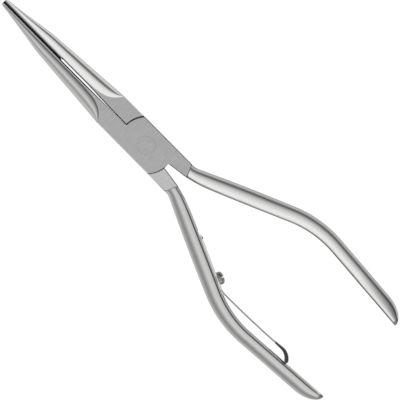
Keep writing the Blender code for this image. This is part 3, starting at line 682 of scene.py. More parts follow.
def fillet(before, corner, after, radius, steps=10):
    """Points that round the corner between two straight runs: the first radius turned about the centre."""
    corner = Vector(corner)
    back = (Vector(before) - corner).normalized()
    ahead = (Vector(after) - corner).normalized()
    opening = back.angle(ahead)
    centre = corner + (back + ahead).normalized() * radius / math.sin(opening / 2)
    first = corner + back * radius / math.tan(opening / 2) - centre
    last = corner + ahead * radius / math.tan(opening / 2) - centre
    turn = -np.linspace(0.0, first.angle_signed(last), steps + 1)
    x = first.x * np.cos(turn) - first.y * np.sin(turn)
    y = first.x * np.sin(turn) + first.y * np.cos(turn)
    return np.column_stack((centre.x + x, centre.y + y))


def shoulder_run(sizes):
    """Start and end of the plate's straight edge across the root of the handle."""
    point, _, way = (Vector(row[0]).xy for row in HANDLE.at(0.0))
    inner = point - way * float(handle_offsets(sizes, 0.0)[1][0])
    return inner, point + way * (sizes.joint_width / 2 - point.x) / way.x


def crotch_run(sizes):
    """Start and end of the straight edge between the crotch and the handle's root."""
    inner = shoulder_run(sizes)[0]
    corner = Vector((CROTCH_X, -math.sqrt(sizes.lap_radius**2 - CROTCH_X**2)))
    return corner + (inner - corner).normalized() * CROTCH_FILLET, inner


def plate_outline(sizes):
    """Outline of the lap plate and the handle's root: two arcs about the pivot, the joint's straight sides,
    a rounded crotch, and the shoulder square across the handle."""
    half_width, lap = sizes.joint_width / 2, sizes.lap_radius
    side_y = math.sqrt(lap**2 - half_width**2)
    side_angle = math.asin(side_y / lap)
    inner, outer = shoulder_run(sizes)
    crotch_y = -math.sqrt(lap**2 - CROTCH_X**2)
    lower = arc(lap, side_angle - math.pi, math.atan2(crotch_y, CROTCH_X), PLATE_ARC_STEPS)
    corner = fillet(lower[-2], lower[-1], (inner.x, inner.y), CROTCH_FILLET)
    upper = arc(lap, side_angle, math.acos(-RELIEF_ROOT_GAP / 2 / lap), PLATE_ARC_STEPS)
    first = np.array([(-half_width, lap)])
    root = np.array([(inner.x, inner.y), (outer.x, outer.y)])
    return np.concatenate((first, lower[:-1], corner, root, upper))


def edge_bar(name, start, end, z):
    """Square bar along a straight run at height z, turned half a right angle, that breaks a long edge."""
    side = EDGE_BREAK * math.sqrt(2)
    start, run = Vector(start), Vector(end) - Vector(start)
    bar = box_mesh(name, (side, run.length, side), -side / 2)
    along = Matrix.Rotation(math.atan2(run.y, run.x) - math.pi / 2, 4, "Z")
    place = Matrix.Translation((*(start + run / 2), z)) @ along
    return moved(bar, place @ Matrix.Rotation(math.pi / 4, 4, "Y"))


def rivet_profile(sizes, clearance, overrun):
    """Countersunk at both ends: head radius at the faces, shank radius between the necks."""
    half = sizes.joint_thickness / 2
    shank, head = sizes.shank_radius + clearance, sizes.rivet_radius + clearance
    neck = half - RIVET_HEAD_DEPTH
    if overrun:
        tall = half + overrun
        ends = ((0.0, tall), (head, tall), (head, half)), ((head, -half), (head, -tall), (0.0, -tall))
    else:
        rim = head - RIVET_EDGE
        low = half - RIVET_EDGE
        ends = ((0.0, half), (rim, half), (head, low)), ((head, -low), (rim, -half), (0.0, -half))
    return ends[0] + ((shank, neck), (shank, -neck)) + ends[1]


def half_mesh(name, sizes, rear, extra=()):
    """One forging: plate, jaw and handle joined, the lap recess, rivet hole and edge breaks cut away."""
    half, half_width = sizes.joint_thickness / 2, sizes.joint_width / 2
    tall = half + CUT_OVERRUN
    recess = arc(sizes.lap_radius + SHOULDER_CLEARANCE, 0.0, 2 * math.pi, 2 * TURNED_SIDES)[:-1]
    recess[:, 0] -= RECESS_SHIFT
    tools = [
        (grid_mesh(name + "_jaw", jaw_surface(sizes, rear)), "UNION"),
        (grid_mesh(name + "_handle", handle_surface(sizes, rear)), "UNION"),
        (plate_mesh(name + "_recess", recess, -tall, LAP_CLEARANCE / 2), "DIFFERENCE"),
        (turned_mesh(name + "_hole", rivet_profile(sizes, RIVET_CLEARANCE, CUT_OVERRUN)), "DIFFERENCE"),
    ]
    low = -half_width - sizes.lap_radius
    runs = [((x, JAW_SHOULDER), (x, low)) for x in (-half_width, half_width)]
    inner, outer = shoulder_run(sizes)
    past = (outer - inner).normalized() * SHOULDER_BAR_OVERRUN
    for start, end in runs + [crotch_run(sizes), (inner - past, outer + past)]:
        for z in (-half, half):
            tools.append((edge_bar(name + "_edge", start, end, z), "DIFFERENCE"))
    tools += extra
    return combine(name, plate_mesh(name, plate_outline(sizes), -half, half), tools)


# The toothed and lapped finishes are dark as painted shade in the groove between the closed jaws and in the
# lap's seam and recess
HALF_FINISHES = ("polished_steel", "ground_steel", "toothed_steel", "lapped_steel")
POLISHED, GROUND, TOOTHED, LAPPED = range(len(HALF_FINISHES))


def use_finishes(mesh, names):
    """Give a mesh its materials, in the order of their slots."""
    mesh.materials.clear()
    for name in names:
        mesh.materials.append(finish(name))


def beside(run, x, y):
    """Distances of places along a straight run and to its side, and the run's direction."""
    start, end = run
    way = (end - start).normalized()
    x, y = x - start.x, y - start.y
    return x * way.x + y * way.y, x * way.y - y * way.x, way


def paint_shade_and_satin(mesh, sizes, rear):
    """Give the corners of a half its painted shade and light, and the shares by which its steel is rougher
    there:
    a flank on one jaw and one handle painted darker where it leans from the light and made satin rougher,
    painted shade on steep sides and in thin dark lines along the edges that the light doesn't reach, and
    painted light on the rear half's root piece."""
    n, (x, y, z) = read_values(mesh.vertices, "normal", 3), read_values(mesh.vertices, "co", 3).T
    lean = np.arctan2(n[:, 0], np.abs(n[:, 2])) / (math.pi / 2)
    handle = y < HANDLE_FINISH_Y
    shaded_satin_part = handle if rear else y > JAW_SHOULDER
    flank_lean = lean if rear else -lean
    flank_shade = FLANK_SHADE_STRENGTHS[rear] * share_at(flank_lean, FLANK_SHADE_SHARES)
    painted_shading = np.where(shaded_satin_part, flank_shade, share_at(lean, OUTER_SHADE_SHARES))
    satin = np.where(shaded_satin_part, share_at(flank_lean, SATIN_SHARES), 0.0)
    relief = (y > sizes.lap_radius) & (y < sizes.jaw_length - sizes.toothed_length)
    # Painted shade along the rims of the relief slot
    rim = relief & (np.abs(x - grip_face(sizes, y, rear)) < EDGE_MARGIN * RELIEF_CHAMFER_WIDTHS[rear])
    painted_shading = np.where(rim, BROKEN_EDGE_SHADE if rear else share_at(y / JAW_SHOULDER, RIM_SHADE_SHARES), painted_shading)
    from_end = y - y.min()
    if rear:
        # Painted shade lines along the handles' inner edges, with a little painted light beside the rear one
        painted_shading = np.where(handle & (lean < BEVEL_LINE_LEAN), share_at(lean, BEVEL_LINE_SHADE_SHARES), painted_shading)
    else:
        painted_shading = np.where(handle & (lean < 0.0), share_at(-lean, INNER_EDGE_SHADE_SHARES), painted_shading)
        painted_shading = np.maximum(painted_shading, share_at(from_end, END_SHADE_SHARES) * share_at(lean, END_SHADE_LEAN_SHARES))
    tip_shade = share_at(from_end / HANDLE_END_ROUND, TIP_SHADE_SHARES)
    painted_shading = np.where(tip_shade > 0.0, np.maximum(painted_shading, tip_shade), painted_shading)

    corners = read_values(mesh.loops, "vertex_index", kind=np.int32)
    turns = read_values(mesh.polygons, "loop_total", kind=np.int32)
    faces = read_values(mesh.polygons, "normal", 3)
    level = np.repeat(read_values(mesh.polygons, "material_index", kind=np.int32) == GROUND, turns)
    upright = np.repeat(np.abs(faces[:, 2]), turns)
    sloped = (upright > EDGE_FACINGS[0]) & (upright < EDGE_FACINGS[1])
    side = (np.abs(y) < JAW_SHOULDER) & (x > SIDE_EDGE_SHARE * sizes.joint_width / 2) & (not rear)
    # Painted light on the rear half's root piece below the lap
    piece = (y < ROOT_PIECE_LAP_SHARE * sizes.lap_radius) & (z < 0.0) & rear
    start, end = crotch_run(sizes)
    along, off, _ = beside((start, end), x, y)
    root = (along < (end - start).length + ROOT_EDGE_MARGIN * EDGE_BREAK) & (along > -EDGE_BREAK)
    root &= np.abs(off) < EDGE_MARGIN * EDGE_BREAK
    _, off, way = beside(shoulder_run(sizes), x, y)
    ahead = np.abs(np.repeat(faces[:, 0] * way.y - faces[:, 1] * way.x, turns))
    # Painted shade along the shoulder's broken edge
    shoulder = (np.abs(off) < EDGE_MARGIN * EDGE_BREAK)[corners] & (ahead > SHOULDER_EDGE_FACING) & sloped
    shaded_edge = (side | root)[corners] & sloped
    # Painted shade and light go to the corners, with the satin roughness
    for name, shares in (("painted_light_and_shade", painted_shading), ("satin", satin)):
        share_there = np.where(shaded_edge, BROKEN_EDGE_SHADE, shares[corners])
        share_there = np.where(level, ROOT_PIECE_LIGHT * piece[corners], share_there)
        share_there = np.where(shoulder, SHOULDER_EDGE_SHADES[rear], share_there)
        made = mesh.attributes.new(name, "FLOAT", "CORNER")
        made.data.foreach_set("value", share_there.astype(np.float32))


def sort_finishes(mesh, sizes):
    """Give each face of a half its finish: ground on the joint's faces, the jaw's strips and the plate's
    round walls, toothed on the gripping sides, lapped in the recess and on its wall, else polished; the toothed
    and lapped finishes are dark as painted shade in the groove between the closed jaws and in the lap's seam."""
    use_finishes(mesh, HALF_FINISHES)
    n, c = read_values(mesh.polygons, "normal", 3), read_values(mesh.polygons, "center", 3)
    upright = np.abs(n[:, 2])
    half = sizes.joint_thickness / 2
    way = np.clip((c[:, 1] - JAW_SHOULDER) / (sizes.jaw_length - JAW_SHOULDER), 0.0, 1.0)
    level = half + (sizes.tip_thickness / 2 - half) * way
    ground = (c[:, 1] > FLAT_FINISH_Y) & (upright > LEVEL_FACING)
    ground &= np.abs(np.abs(c[:, 2]) - level) < LEVEL_TOLERANCE
    shaded_grip = (c[:, 1] > sizes.lap_radius) & (c[:, 0] > -INNER_STRIP) & (upright < STEEP_FACING)
    radius = np.hypot(c[:, 0], c[:, 1])
    shaded_lap = (radius < sizes.lap_radius + 2 * SHOULDER_CLEARANCE) & (np.abs(c[:, 2]) < LAP_CLEARANCE)
    shaded_lap &= upright > STEEP_FACING
    facing = (n[:, :2] * c[:, :2]).sum(axis=1) / radius
    wall = np.abs(radius - sizes.lap_radius) < WALL_MARGIN * SHOULDER_CLEARANCE
    ground |= wall & (facing > WALL_FACING)
    shaded_lap |= wall & (facing < -WALL_FACING)
    kinds = np.select((shaded_lap, ground, shaded_grip), (LAPPED, GROUND, TOOTHED), POLISHED)
    mesh.polygons.foreach_set("material_index", kinds.astype(np.int32))


# Forms of the spring and its fastenings


def rounded_strip(route, distances, thicknesses, width, edge):
    """Strip along a route: a rectangle with clipped corners, whose thickness may change along the way."""
    t = np.asarray(thicknesses, float)[:, None] / 2
    w = width / 2
    across = np.concatenate((t, t, t - edge, edge - t, -t, -t, edge - t, t - edge), axis=1)
    up = np.array((edge - w, w - edge, w, w, w - edge, edge - w, -w, -w))
    return sections(route, distances, across, up[None, :])


def sleeve_surface(sizes, route):
    """Sleeve as superellipse rings along the leaf's route, thicker towards its tip, with a round end."""
    end = route.lengths.sum()
    way = np.linspace(0.0, 1.0, SLEEVE_STEPS)
    growth = smooth_table(SLEEVE_SHARES, way)[:, 0]
    thick = SLEEVE_START_THICKNESS + (SLEEVE_END_THICKNESS - SLEEVE_START_THICKNESS) * growth
    turn = np.linspace(0.0, math.pi / 2, SLEEVE_TIP_STEPS + 1)[1:-1]
    start = end - sizes.sleeve_length
    distances = np.concatenate((start + way * sizes.sleeve_length, end + SLEEVE_TIP_WALL * np.sin(turn)))
    thick = np.concatenate((thick, SLEEVE_END_THICKNESS * np.cos(turn)))
    width = sizes.leaf_width + 2 * (SLEEVE_SIDE_WALL + SLEEVE_CLEARANCE)
    narrowing = width - SLEEVE_END_THICKNESS * (1 - np.cos(turn))
    wide = np.concatenate((np.full(SLEEVE_STEPS, width), narrowing))
    angle = 2 * math.pi * (np.arange(SLEEVE_SIDES) + 0.5) / SLEEVE_SIDES
    across, up = superellipse(angle, SLEEVE_SQUARENESS)
    return sections(route, distances, thick[:, None] / 2 * across[None, :], wide[:, None] / 2 * up[None, :])


def screw_profile(sizes):
    """Round head over its shank: crowned top, quarter-circle shoulder, straight side, plain shank."""
    rise = sizes.screw_head_height - SCREW_CROWN
    inner = sizes.screw_head_radius - SCREW_HEAD_ROUND
    turn = np.linspace(0.0, math.pi / 2, SCREW_ROUND_STEPS)
    crown = np.linspace(0.0, inner, SCREW_CROWN_STEPS)[:-1]
    profile = list(zip(crown, rise + SCREW_CROWN * (1.0 - (crown / inner) ** 2)))
    shoulder = inner + SCREW_HEAD_ROUND * np.sin(turn), rise - SCREW_HEAD_ROUND * (1.0 - np.cos(turn))
    profile += list(zip(*shoulder))
    profile += [(sizes.screw_head_radius, 0.0), (SCREW_SHANK_RADIUS, 0.0)]
    return profile + [(SCREW_SHANK_RADIUS, -SCREW_SHANK_LENGTH), (0.0, -SCREW_SHANK_LENGTH)]


def hole_mesh(name, sizes, distance, radius, depth):
    """Round cutter through the leaf and on into the handle."""
    r = radius + HOLE_CLEARANCE
    low = -depth - HOLE_CLEARANCE
    mesh = turned_mesh(name, ((0.0, CUT_OVERRUN), (r, CUT_OVERRUN), (r, low), (0.0, low)), HOLE_SIDES)
    return moved(mesh, on_handle(sizes, distance))


def screw_and_pin_holes(sizes):
    """The two holes that the leaf and the handle share."""
    top = SEAT_GAP + sizes.leaf_thickness + PIN_STANDOUT
    yield hole_mesh("screw_hole", sizes, SCREW_DISTANCE, SCREW_SHANK_RADIUS, SCREW_SHANK_LENGTH)
    yield hole_mesh("pin_hole", sizes, LEAF_START + PIN_FROM_LEAF_END, PIN_RADIUS, PIN_LENGTH - top)


# Finishes

SATIN_ROUGHNESS = 0.12
LENGTHWISE = (9000.0, 260.0, 9000.0)
CROSSWISE = (320.0, 9500.0, 9500.0)
MARKS = {"Scale": 1.0, "Detail": 3.0}
PATCHES = {"Scale": 160.0, "Detail": 3.0}
BROAD_MARKS = {"Scale": 1.0, "Detail": 5.0, "Roughness": 0.75}
BROAD_STRETCH = 0.6
TONE_RANGE = (0.3, 0.7)
TINT_GAIN = 2
TINT_LIMIT = 0.5
LAPPED_SHADE_TONE = 4
SPRING_EDGE_TONE = 0.45
# The pin is painted darker than the screw, as painted shade at its ends
PIN_SHADE_TONE = 0.3


def add_node(tree, kind, operation=None, values=None):
    """Add a shader node, with its operation and the values of its inputs."""
    made = tree.nodes.new("ShaderNode" + kind)
    if operation:
        made.operation = operation
    for given, value in (values or {}).items():
        made.inputs[given].default_value = value
    return made


def wire(tree, *rows):
    """Link nodes: each row names a node, its output, the node that it feeds and the input there."""
    for source, output, target, given in rows:
        tree.links.new(source.outputs[output], target.inputs[given])


def fine_grain_group():
    """Node group of fine parallel marks: noise drawn out along one axis, with broad uneven patches."""
    found = bpy.data.node_groups.get("fine_grain")
    if found:
        return found
    group = bpy.data.node_groups.new("fine_grain", "ShaderNodeTree")
    sockets = (
        ("Scale", "NodeSocketVector", (1.0, 1.0, 1.0)),
        ("Roughness", "NodeSocketFloat", 0.3),
        ("Spread", "NodeSocketFloat", 0.1),
    )
    for name, kind, value in sockets:
        made = group.interface.new_socket(name=name, in_out="INPUT", socket_type=kind)
        made.default_value = value
    for name in ("Roughness", "Height", "Tone"):
        group.interface.new_socket(name=name, in_out="OUTPUT", socket_type="NodeSocketFloat")
    given = group.nodes.new("NodeGroupInput")
    out = group.nodes.new("NodeGroupOutput")
    place = add_node(group, "TexCoord")
    stretch = add_node(group, "VectorMath", "MULTIPLY")
    marks = add_node(group, "TexNoise", values=MARKS)
    patches = add_node(group, "TexNoise", values=PATCHES)
    both = add_node(group, "Math", "ADD")
    centred = add_node(group, "Math", "SUBTRACT", {1: 1.0})
    scaled = add_node(group, "Math", "MULTIPLY_ADD")
    wider = add_node(group, "VectorMath", "SCALE", {"Scale": BROAD_STRETCH})
    broad = add_node(group, "TexNoise", values=BROAD_MARKS)
    wire(
        group,
        (place, "Object", stretch, 0),
        (given, "Scale", stretch, 1),
        (stretch, "Vector", marks, "Vector"),
        (place, "Object", patches, "Vector"),
        (marks, "Fac", both, 0),
        (patches, "Fac", both, 1),
        (both, "Value", centred, 0),
        (centred, "Value", scaled, 0),
        (given, "Spread", scaled, 1),
        (given, "Roughness", scaled, 2),
        (scaled, "Value", out, "Roughness"),
        (marks, "Fac", out, "Height"),
        (stretch, "Vector", wider, 0),
        (wider, "Vector", broad, "Vector"),
        (broad, "Fac", out, "Tone"),
    )
    return group


def new_material(name, colour, metallic):
    """Material with a Principled shader, its node tree and the shader; a dark metal also has dark edges."""
    made = bpy.data.materials.new(name)
    made.use_nodes = True
    shader = made.node_tree.nodes["Principled BSDF"]
    shader.inputs["Base Color"].default_value = (*colour, 1.0)
    shader.inputs["Metallic"].default_value = metallic
    if metallic:
        tint = [min(TINT_LIMIT, TINT_GAIN * c) for c in colour]
        shader.inputs["Specular Tint"].default_value = (*tint, 1.0)
    made.diffuse_color = (*colour, 1.0)
    return made, made.node_tree, shader


def grained_material(name, colour, metallic, roughness, spread, scale, bump, contrast):
    """Material with fine marks in its colour, roughness and height, a half's painted shade and light scaling
    its colour, and its satin parts made rougher.
    """
    made, tree, shader = new_material(name, colour, metallic)
    grain = add_node(tree, "Group")
    grain.node_tree = fine_grain_group()
    for given, value in (("Scale", scale), ("Roughness", roughness), ("Spread", spread)):
        grain.inputs[given].default_value = value
    tone = add_node(tree, "ValToRGB")
    dark, light = tone.color_ramp.elements[0], tone.color_ramp.elements[1]
    dark.position, light.position = TONE_RANGE
    dark.color = (*[c * (1.0 - contrast) for c in colour], 1.0)
    light.color = (*[min(1.0, c * (1.0 + contrast)) for c in colour], 1.0)
    rise = add_node(tree, "Bump", values={"Strength": 1.0, "Distance": bump})
    # Painted shade and light: the base colour is scaled by one less the painted share, and the satin share adds
    # roughness
    painted_shading, satin = add_node(tree, "Attribute"), add_node(tree, "Attribute")
    painted_shading.attribute_name, satin.attribute_name = "painted_light_and_shade", "satin"
    rougher = add_node(tree, "Math", "MULTIPLY_ADD", {1: SATIN_ROUGHNESS})
    left = add_node(tree, "Math", "SUBTRACT", {0: 1.0})
    painted_tone = add_node(tree, "VectorMath", "SCALE")
    wire(
        tree,
        (grain, "Tone", tone, "Fac"),
        (painted_shading, "Fac", left, 1),
        (tone, "Color", painted_tone, 0),
        (left, "Value", painted_tone, "Scale"),
        (painted_tone, "Vector", shader, "Base Color"),
        (satin, "Fac", rougher, 0),
        (grain, "Roughness", rougher, 2),
        (rougher, "Value", shader, "Roughness"),
        (grain, "Height", rise, "Height"),
        (rise, "Normal", shader, "Normal"),
    )
    return made


def finish(name):
    """Look a finish up, or make it from the colours and roughness in the panel."""
    found = bpy.data.materials.get(name)
    if found:
        return found
    look = bpy.context.scene.tweezers_finishes
    # The lapped colour is the painted recess shade made four times lighter
    lapped_shade_colour = [LAPPED_SHADE_TONE * c for c in look.recess_shade_colour]
    edge_colour = [SPRING_EDGE_TONE * c for c in look.spring_colour]
    # Painted shade: the pin's colour is darkened to stand for the shade at its ends
    pin_shade_colour = [PIN_SHADE_TONE * c for c in look.screw_colour]
    even, coarse = (5000.0, 5000.0, 5000.0), (2600.0, 2600.0, 2600.0)
    # Colour, metallic, roughness and its spread, scale of the marks, their height and their contrast
    recipes = {
        "polished_steel": (look.polished_colour, 1.0, look.polish, 0.08, LENGTHWISE, 0.0000012, 0.02),
        "ground_steel": (look.ground_colour, 1.0, look.grind, 0.14, CROSSWISE, 0.000002, 0.2),
        # Toothed and lapped finishes: painted shade in the jaws' groove and the lap's seam
        "toothed_steel": (look.recess_shade_colour, 1.0, 0.5, 0.2, CROSSWISE, 0.000004, 0.2),
        "lapped_steel": (lapped_shade_colour, 1.0, 0.45, 0.15, CROSSWISE, 0.000002, 0.2),
        "ground_rivet": (look.ground_colour, 1.0, look.grind, 0.12, CROSSWISE, 0.000002, 0.2),
        "bright_spring": (look.spring_colour, 1.0, 0.22, 0.1, LENGTHWISE, 0.000001, 0.03),
        "spring_edge": (edge_colour, 1.0, 0.35, 0.1, LENGTHWISE, 0.000001, 0.15),
        "dark_pin": (pin_shade_colour, 1.0, 0.4, 0.15, LENGTHWISE, 0.000001, 0.2),
        "dark_screw": (look.screw_colour, 1.0, 0.2, 0.1, even, 0.000002, 0.08),
        "black_sleeve": (look.sleeve_colour, 0.0, 0.42, 0.12, coarse, 0.000008, 0.25),
    }
    return grained_material(name, *recipes[name])


# Operators


class PieceOperator:
    """Gives the pieces' operators their sizes."""

    bl_options = {"REGISTER", "UNDO"}

    @property
    def sizes(self):
        """The sizes in the panel."""
        return bpy.context.scene.tweezers_sizes


class TWEEZERS_OT_front_half(PieceOperator, bpy.types.Operator):
    """Build the front half: lower left jaw, front plate and upper right handle"""

    bl_idname = "tweezers.front_half"
    bl_label = "Front Half"

    def execute(self, context):
        mesh = half_mesh("front_forging", self.sizes, False)
        sort_finishes(mesh, self.sizes)
        paint_shade_and_satin(mesh, self.sizes, False)
        finished("front_forging", mesh, front_place(self.sizes), FRONT_BODY, "front_half")
        return {"FINISHED"}


class TWEEZERS_OT_rear_half(PieceOperator, bpy.types.Operator):
    """Build the rear half: upper right jaw, rear plate and lower left handle with the milled seat"""

    bl_idname = "tweezers.rear_half"
    bl_label = "Rear Half"

    def execute(self, context):
        length = LEAF_TO_BEND + 2 * SEAT_MARGIN
        size = (HANDLE_ROOT_THICKNESS + CUT_OVERRUN, length, SEAT_DEPTH + CUT_OVERRUN)
        seat = moved(box_mesh("seat", size, 0.0), on_handle(self.sizes, LEAF_START + LEAF_TO_BEND / 2))
        extra = [(seat, "DIFFERENCE")] + [(hole, "DIFFERENCE") for hole in screw_and_pin_holes(self.sizes)]
        mesh = half_mesh("rear_forging", self.sizes, True, extra)
        sort_finishes(mesh, self.sizes)
        paint_shade_and_satin(mesh, self.sizes, True)
        finished("rear_forging", mesh, rear_place(self.sizes), REAR_BODY, "rear_half")
        return {"FINISHED"}


class TWEEZERS_OT_rivet(PieceOperator, bpy.types.Operator):
    """Build the rivet, flush with both faces of the joint"""

    bl_idname = "tweezers.rivet"
    bl_label = "Pivot Rivet"

    def execute(self, context):
        mesh = turned_mesh("rivet", rivet_profile(self.sizes, 0.0, 0.0))
        use_finishes(mesh, ("ground_rivet",))
        finished("rivet", mesh, front_place(self.sizes), FRONT_BODY, "pivot_rivet")
        return {"FINISHED"}


class TWEEZERS_OT_leaf(PieceOperator, bpy.types.Operator):
    """Build the leaf spring with its two holes"""

    bl_idname = "tweezers.leaf"
    bl_label = "Leaf Spring"

    def execute(self, context):
        route = leaf_route(self.sizes)
        d = np.linspace(0.0, route.lengths.sum(), LEAF_STEPS)
        thick = np.full(LEAF_STEPS, self.sizes.leaf_thickness)
        strip = rounded_strip(route, d, thick, self.sizes.leaf_width, LEAF_EDGE)
        holes = [(hole, "DIFFERENCE") for hole in screw_and_pin_holes(self.sizes)]
        mesh = combine("leaf", grid_mesh("leaf", strip), holes)
        use_finishes(mesh, ("bright_spring", "spring_edge"))
        bend = route.at(LEAF_TO_BEND)[0][0, 1]
        upright = np.abs(read_values(mesh.polygons, "normal", 3)[:, 2])
        edge = (upright > LEAF_EDGE_FACING) & (read_values(mesh.polygons, "center", 3)[:, 1] < bend)
        mesh.polygons.foreach_set("material_index", edge.astype(np.int32))
        finished("leaf", mesh, rear_place(self.sizes), REAR_BODY, "leaf_spring")
        return {"FINISHED"}


class TWEEZERS_OT_screw(PieceOperator, bpy.types.Operator):
    """Build the slotted screw that holds the leaf"""

    bl_idname = "tweezers.screw"
    bl_label = "Spring Screw"

    def execute(self, context):
        sizes = self.sizes
        across = 2 * sizes.screw_head_radius + CUT_OVERRUN
        slot_size = (across, SCREW_SLOT_WIDTH, SCREW_SLOT_DEPTH + CUT_OVERRUN)
        slot = box_mesh("slot", slot_size, sizes.screw_head_height - SCREW_SLOT_DEPTH)
        head = turned_mesh("screw", screw_profile(sizes), SCREW_SIDES)
        mesh = combine("screw", head, [(slot, "DIFFERENCE")])
        place = on_handle(sizes, SCREW_DISTANCE, 2 * SEAT_GAP + sizes.leaf_thickness)
        use_finishes(mesh, ("dark_screw",))
        finished("screw", mesh, rear_place(sizes) @ place, REAR_BODY, "spring_screw")
        return {"FINISHED"}


class TWEEZERS_OT_pin(PieceOperator, bpy.types.Operator):
    """Build the pin that keeps the leaf from turning"""

    bl_idname = "tweezers.pin"
    bl_label = "Locating Pin"

    def execute(self, context):
        top = SEAT_GAP + self.sizes.leaf_thickness + PIN_STANDOUT
        low = top - PIN_LENGTH
        rim = PIN_RADIUS - PIN_EDGE
        profile = ((0.0, top), (rim, top), (PIN_RADIUS, top - PIN_EDGE), (PIN_RADIUS, low), (0.0, low))
        mesh = turned_mesh("pin", profile, PIN_SIDES)
        place = rear_place(self.sizes) @ on_handle(self.sizes, LEAF_START + PIN_FROM_LEAF_END)
        use_finishes(mesh, ("dark_pin",))
        finished("pin", mesh, place, REAR_BODY, "locating_pin")
        return {"FINISHED"}


class TWEEZERS_OT_sleeve(PieceOperator, bpy.types.Operator):
    """Build the sleeve on the leaf's free end, with the leaf's pocket in it"""

    bl_idname = "tweezers.sleeve"
    bl_label = "Sleeve"

    def execute(self, context):
        sizes = self.sizes
        route = leaf_route(sizes)
        end = route.lengths.sum()
        start = end - sizes.sleeve_length
        d = np.linspace(start - SLEEVE_CLEARANCE, end + SLEEVE_CLEARANCE, SLEEVE_STEPS // 2)
        room = np.full(len(d), sizes.leaf_thickness + 2 * SLEEVE_CLEARANCE)
        width = sizes.leaf_width + 2 * SLEEVE_CLEARANCE
        pocket = grid_mesh("pocket", rounded_strip(route, d, room, width, LEAF_EDGE))
        body = grid_mesh("sleeve", sleeve_surface(sizes, route))
        mesh = combine("sleeve", body, [(pocket, "DIFFERENCE")])
        use_finishes(mesh, ("black_sleeve",))
        finished("sleeve", mesh, rear_place(sizes), REAR_BODY, "spring_sleeve")
        return {"FINISHED"}


# Stage

CAMERA_CENTRE = (-0.00004, -0.0302, 0.0035)
CAMERA_VIEW_WIDTH = 0.1589
CAMERA_ROLL = 44.66
CAMERA_LENS = 120.0
CAMERA_SENSOR = 36.0
CAMERA_NEAR = 0.01
FLOOR_COLOUR = (0.9, 0.9, 0.9)
FLOOR_TONES = (0.88, 0.92)
FLOOR_ROUGHNESS = 0.9
FLOOR_GRAIN = 900.0
FLOOR_GLOW = 1.08
FLOOR_GLOW_SHARE = 0.9
SKY_STRENGTH = 2.0
# Share of the sky from the left horizon (0) over the zenith (0.5) to the right horizon (1), and its light
SKY_SHARES = (
    (0.0, 1.15), (0.10, 1.28), (0.39, 1.28), (0.444, 1.17), (0.50, 1.05), (0.544, 0.88), (0.622, 0.62),
    (0.689, 0.36), (0.75, 0.15), (0.79, 0.15), (0.878, 0.42), (0.944, 0.56), (1.0, 0.60),
)


def studio_sky():
    """World of a white tent with a soft gap: its light is read from a table over the angle about the tool's
    length; the camera itself sees one even light tone."""
    world = bpy.data.worlds.new("studio")
    bpy.context.scene.world = world
    world.use_nodes = True
    tree = world.node_tree
    tree.nodes.clear()
    place, parts = add_node(tree, "TexCoord"), add_node(tree, "SeparateXYZ")
    angle = add_node(tree, "Math", "ARCTAN2")
    way = add_node(tree, "Math", "MULTIPLY_ADD", {1: 1.0 / math.pi, 2: 0.5})
    ramp = add_node(tree, "ValToRGB")
    stops = ramp.color_ramp.elements
    for position, _ in SKY_SHARES[1:-1]:
        stops.new(position)
    for stop, (position, light) in zip(stops, SKY_SHARES):
        stop.position = position
        stop.color = (*[light / SKY_STRENGTH] * 3, 1.0)
    sky = add_node(tree, "Background", values={"Strength": SKY_STRENGTH})
    white, rays = add_node(tree, "Background"), add_node(tree, "LightPath")
    mix, out = add_node(tree, "MixShader"), add_node(tree, "OutputWorld")
    wire(
        tree,
        (place, "Generated", parts, "Vector"),
        (parts, "X", angle, 0),
        (parts, "Z", angle, 1),
        (angle, "Value", way, 0),
        (way, "Value", ramp, "Fac"),
        (ramp, "Color", sky, "Color"),
        (rays, "Is Camera Ray", mix, "Fac"),
        (sky, "Background", mix, 1),
        (white, "Background", mix, 2),
        (mix, "Shader", out, "Surface"),
    )


def floor_material():
    """White floor that keeps a shadow: part of it glows for the camera and in reflections."""
    made, tree, shader = new_material("studio_floor", FLOOR_COLOUR, 0.0)
    shader.inputs["Roughness"].default_value = FLOOR_ROUGHNESS
    grain = add_node(tree, "TexNoise", values={"Scale": FLOOR_GRAIN})
    tone, place = add_node(tree, "ValToRGB"), add_node(tree, "TexCoord")
    for stop, value in zip(tone.color_ramp.elements, FLOOR_TONES):
        stop.color = (value, value, value, 1.0)
    glow = add_node(tree, "Emission", values={"Strength": FLOOR_GLOW})
    rays = add_node(tree, "LightPath")
    seen, through = add_node(tree, "Math", "MAXIMUM"), add_node(tree, "Math", "MAXIMUM")
    part = add_node(tree, "Math", "MULTIPLY", {1: FLOOR_GLOW_SHARE})
    mix = add_node(tree, "MixShader")
    wire(
        tree,
        (place, "Object", grain, "Vector"),
        (grain, "Fac", tone, "Fac"),
        (tone, "Color", shader, "Base Color"),
        (rays, "Is Camera Ray", seen, 0),
        (rays, "Is Glossy Ray", seen, 1),
        (seen, "Value", through, 0),
        (rays, "Is Transmission Ray", through, 1),
        (through, "Value", part, 0),
        (part, "Value", mix, "Fac"),
        (shader, "BSDF", mix, 1),
        (glow, "Emission", mix, 2),
        (mix, "Shader", tree.nodes["Material Output"], "Surface"),
    )
    return made


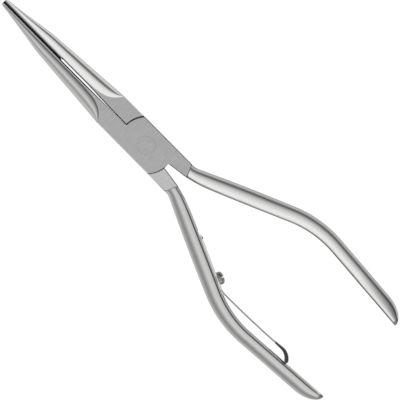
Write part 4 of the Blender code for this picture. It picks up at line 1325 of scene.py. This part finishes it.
class TWEEZERS_OT_stage(PieceOperator, bpy.types.Operator):
    """Set the floor, the soft light and the camera that looks straight down"""

    bl_idname = "tweezers.stage"
    bl_label = "Stage"

    def execute(self, context):
        scene = context.scene
        side = scene.tweezers_finishes.floor_size / 2
        lowest = CAD_BOX[0][2]
        corners = ((-side, -side), (side, -side), (side, side), (-side, side))
        mesh = bpy.data.meshes.new("floor")
        mesh.from_pydata([(x, y, lowest) for x, y in corners], [], [(0, 1, 2, 3)])
        mesh.materials.append(floor_material())
        new_object("floor", mesh)

        studio_sky()
        camera = bpy.data.cameras.new("camera")
        camera.lens = CAMERA_LENS
        camera.sensor_width = CAMERA_SENSOR
        camera.clip_start = CAMERA_NEAR
        seat = new_object("camera", camera)
        away = CAMERA_VIEW_WIDTH * CAMERA_LENS / CAMERA_SENSOR
        seat.location = Vector(CAMERA_CENTRE) + Vector((0.0, 0.0, away))
        seat.rotation_euler = (0.0, 0.0, -math.radians(CAMERA_ROLL))
        scene.camera = seat
        scene.view_settings.view_transform = "Standard"
        return {"FINISHED"}


class TWEEZERS_PT_panel(bpy.types.Panel):
    """Panel in the sidebar with the sizes, the finishes and a button for each piece"""

    bl_label = "Fish Bone Tweezers"
    bl_idname = "TWEEZERS_PT_panel"
    bl_space_type = "VIEW_3D"
    bl_region_type = "UI"
    bl_category = "Tweezers"

    def draw(self, context):
        for group in (context.scene.tweezers_sizes, context.scene.tweezers_finishes):
            column = self.layout.column()
            for name in group.__annotations__:
                column.prop(group, name)
        for operator in OPERATORS:
            self.layout.operator(operator.bl_idname)


OPERATORS = (
    TWEEZERS_OT_front_half,
    TWEEZERS_OT_rear_half,
    TWEEZERS_OT_rivet,
    TWEEZERS_OT_leaf,
    TWEEZERS_OT_screw,
    TWEEZERS_OT_pin,
    TWEEZERS_OT_sleeve,
    TWEEZERS_OT_stage,
)
CLASSES = (TweezersSizes, TweezersFinishes) + OPERATORS + (TWEEZERS_PT_panel,)


def register():
    """Register the classes and add the two groups to the scene."""
    for item in CLASSES:
        bpy.utils.register_class(item)
    bpy.types.Scene.tweezers_sizes = PointerProperty(type=TweezersSizes)
    bpy.types.Scene.tweezers_finishes = PointerProperty(type=TweezersFinishes)


def unregister():
    """Take the two groups from the scene and unregister the classes."""
    del bpy.types.Scene.tweezers_finishes
    del bpy.types.Scene.tweezers_sizes
    for item in reversed(CLASSES):
        bpy.utils.unregister_class(item)


def main():
    """Register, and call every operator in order."""
    register()
    bpy.ops.tweezers.front_half()
    bpy.ops.tweezers.rear_half()
    bpy.ops.tweezers.rivet()
    bpy.ops.tweezers.leaf()
    bpy.ops.tweezers.screw()
    bpy.ops.tweezers.pin()
    bpy.ops.tweezers.sleeve()
    bpy.ops.tweezers.stage()


if __name__ == "__main__":
    main()
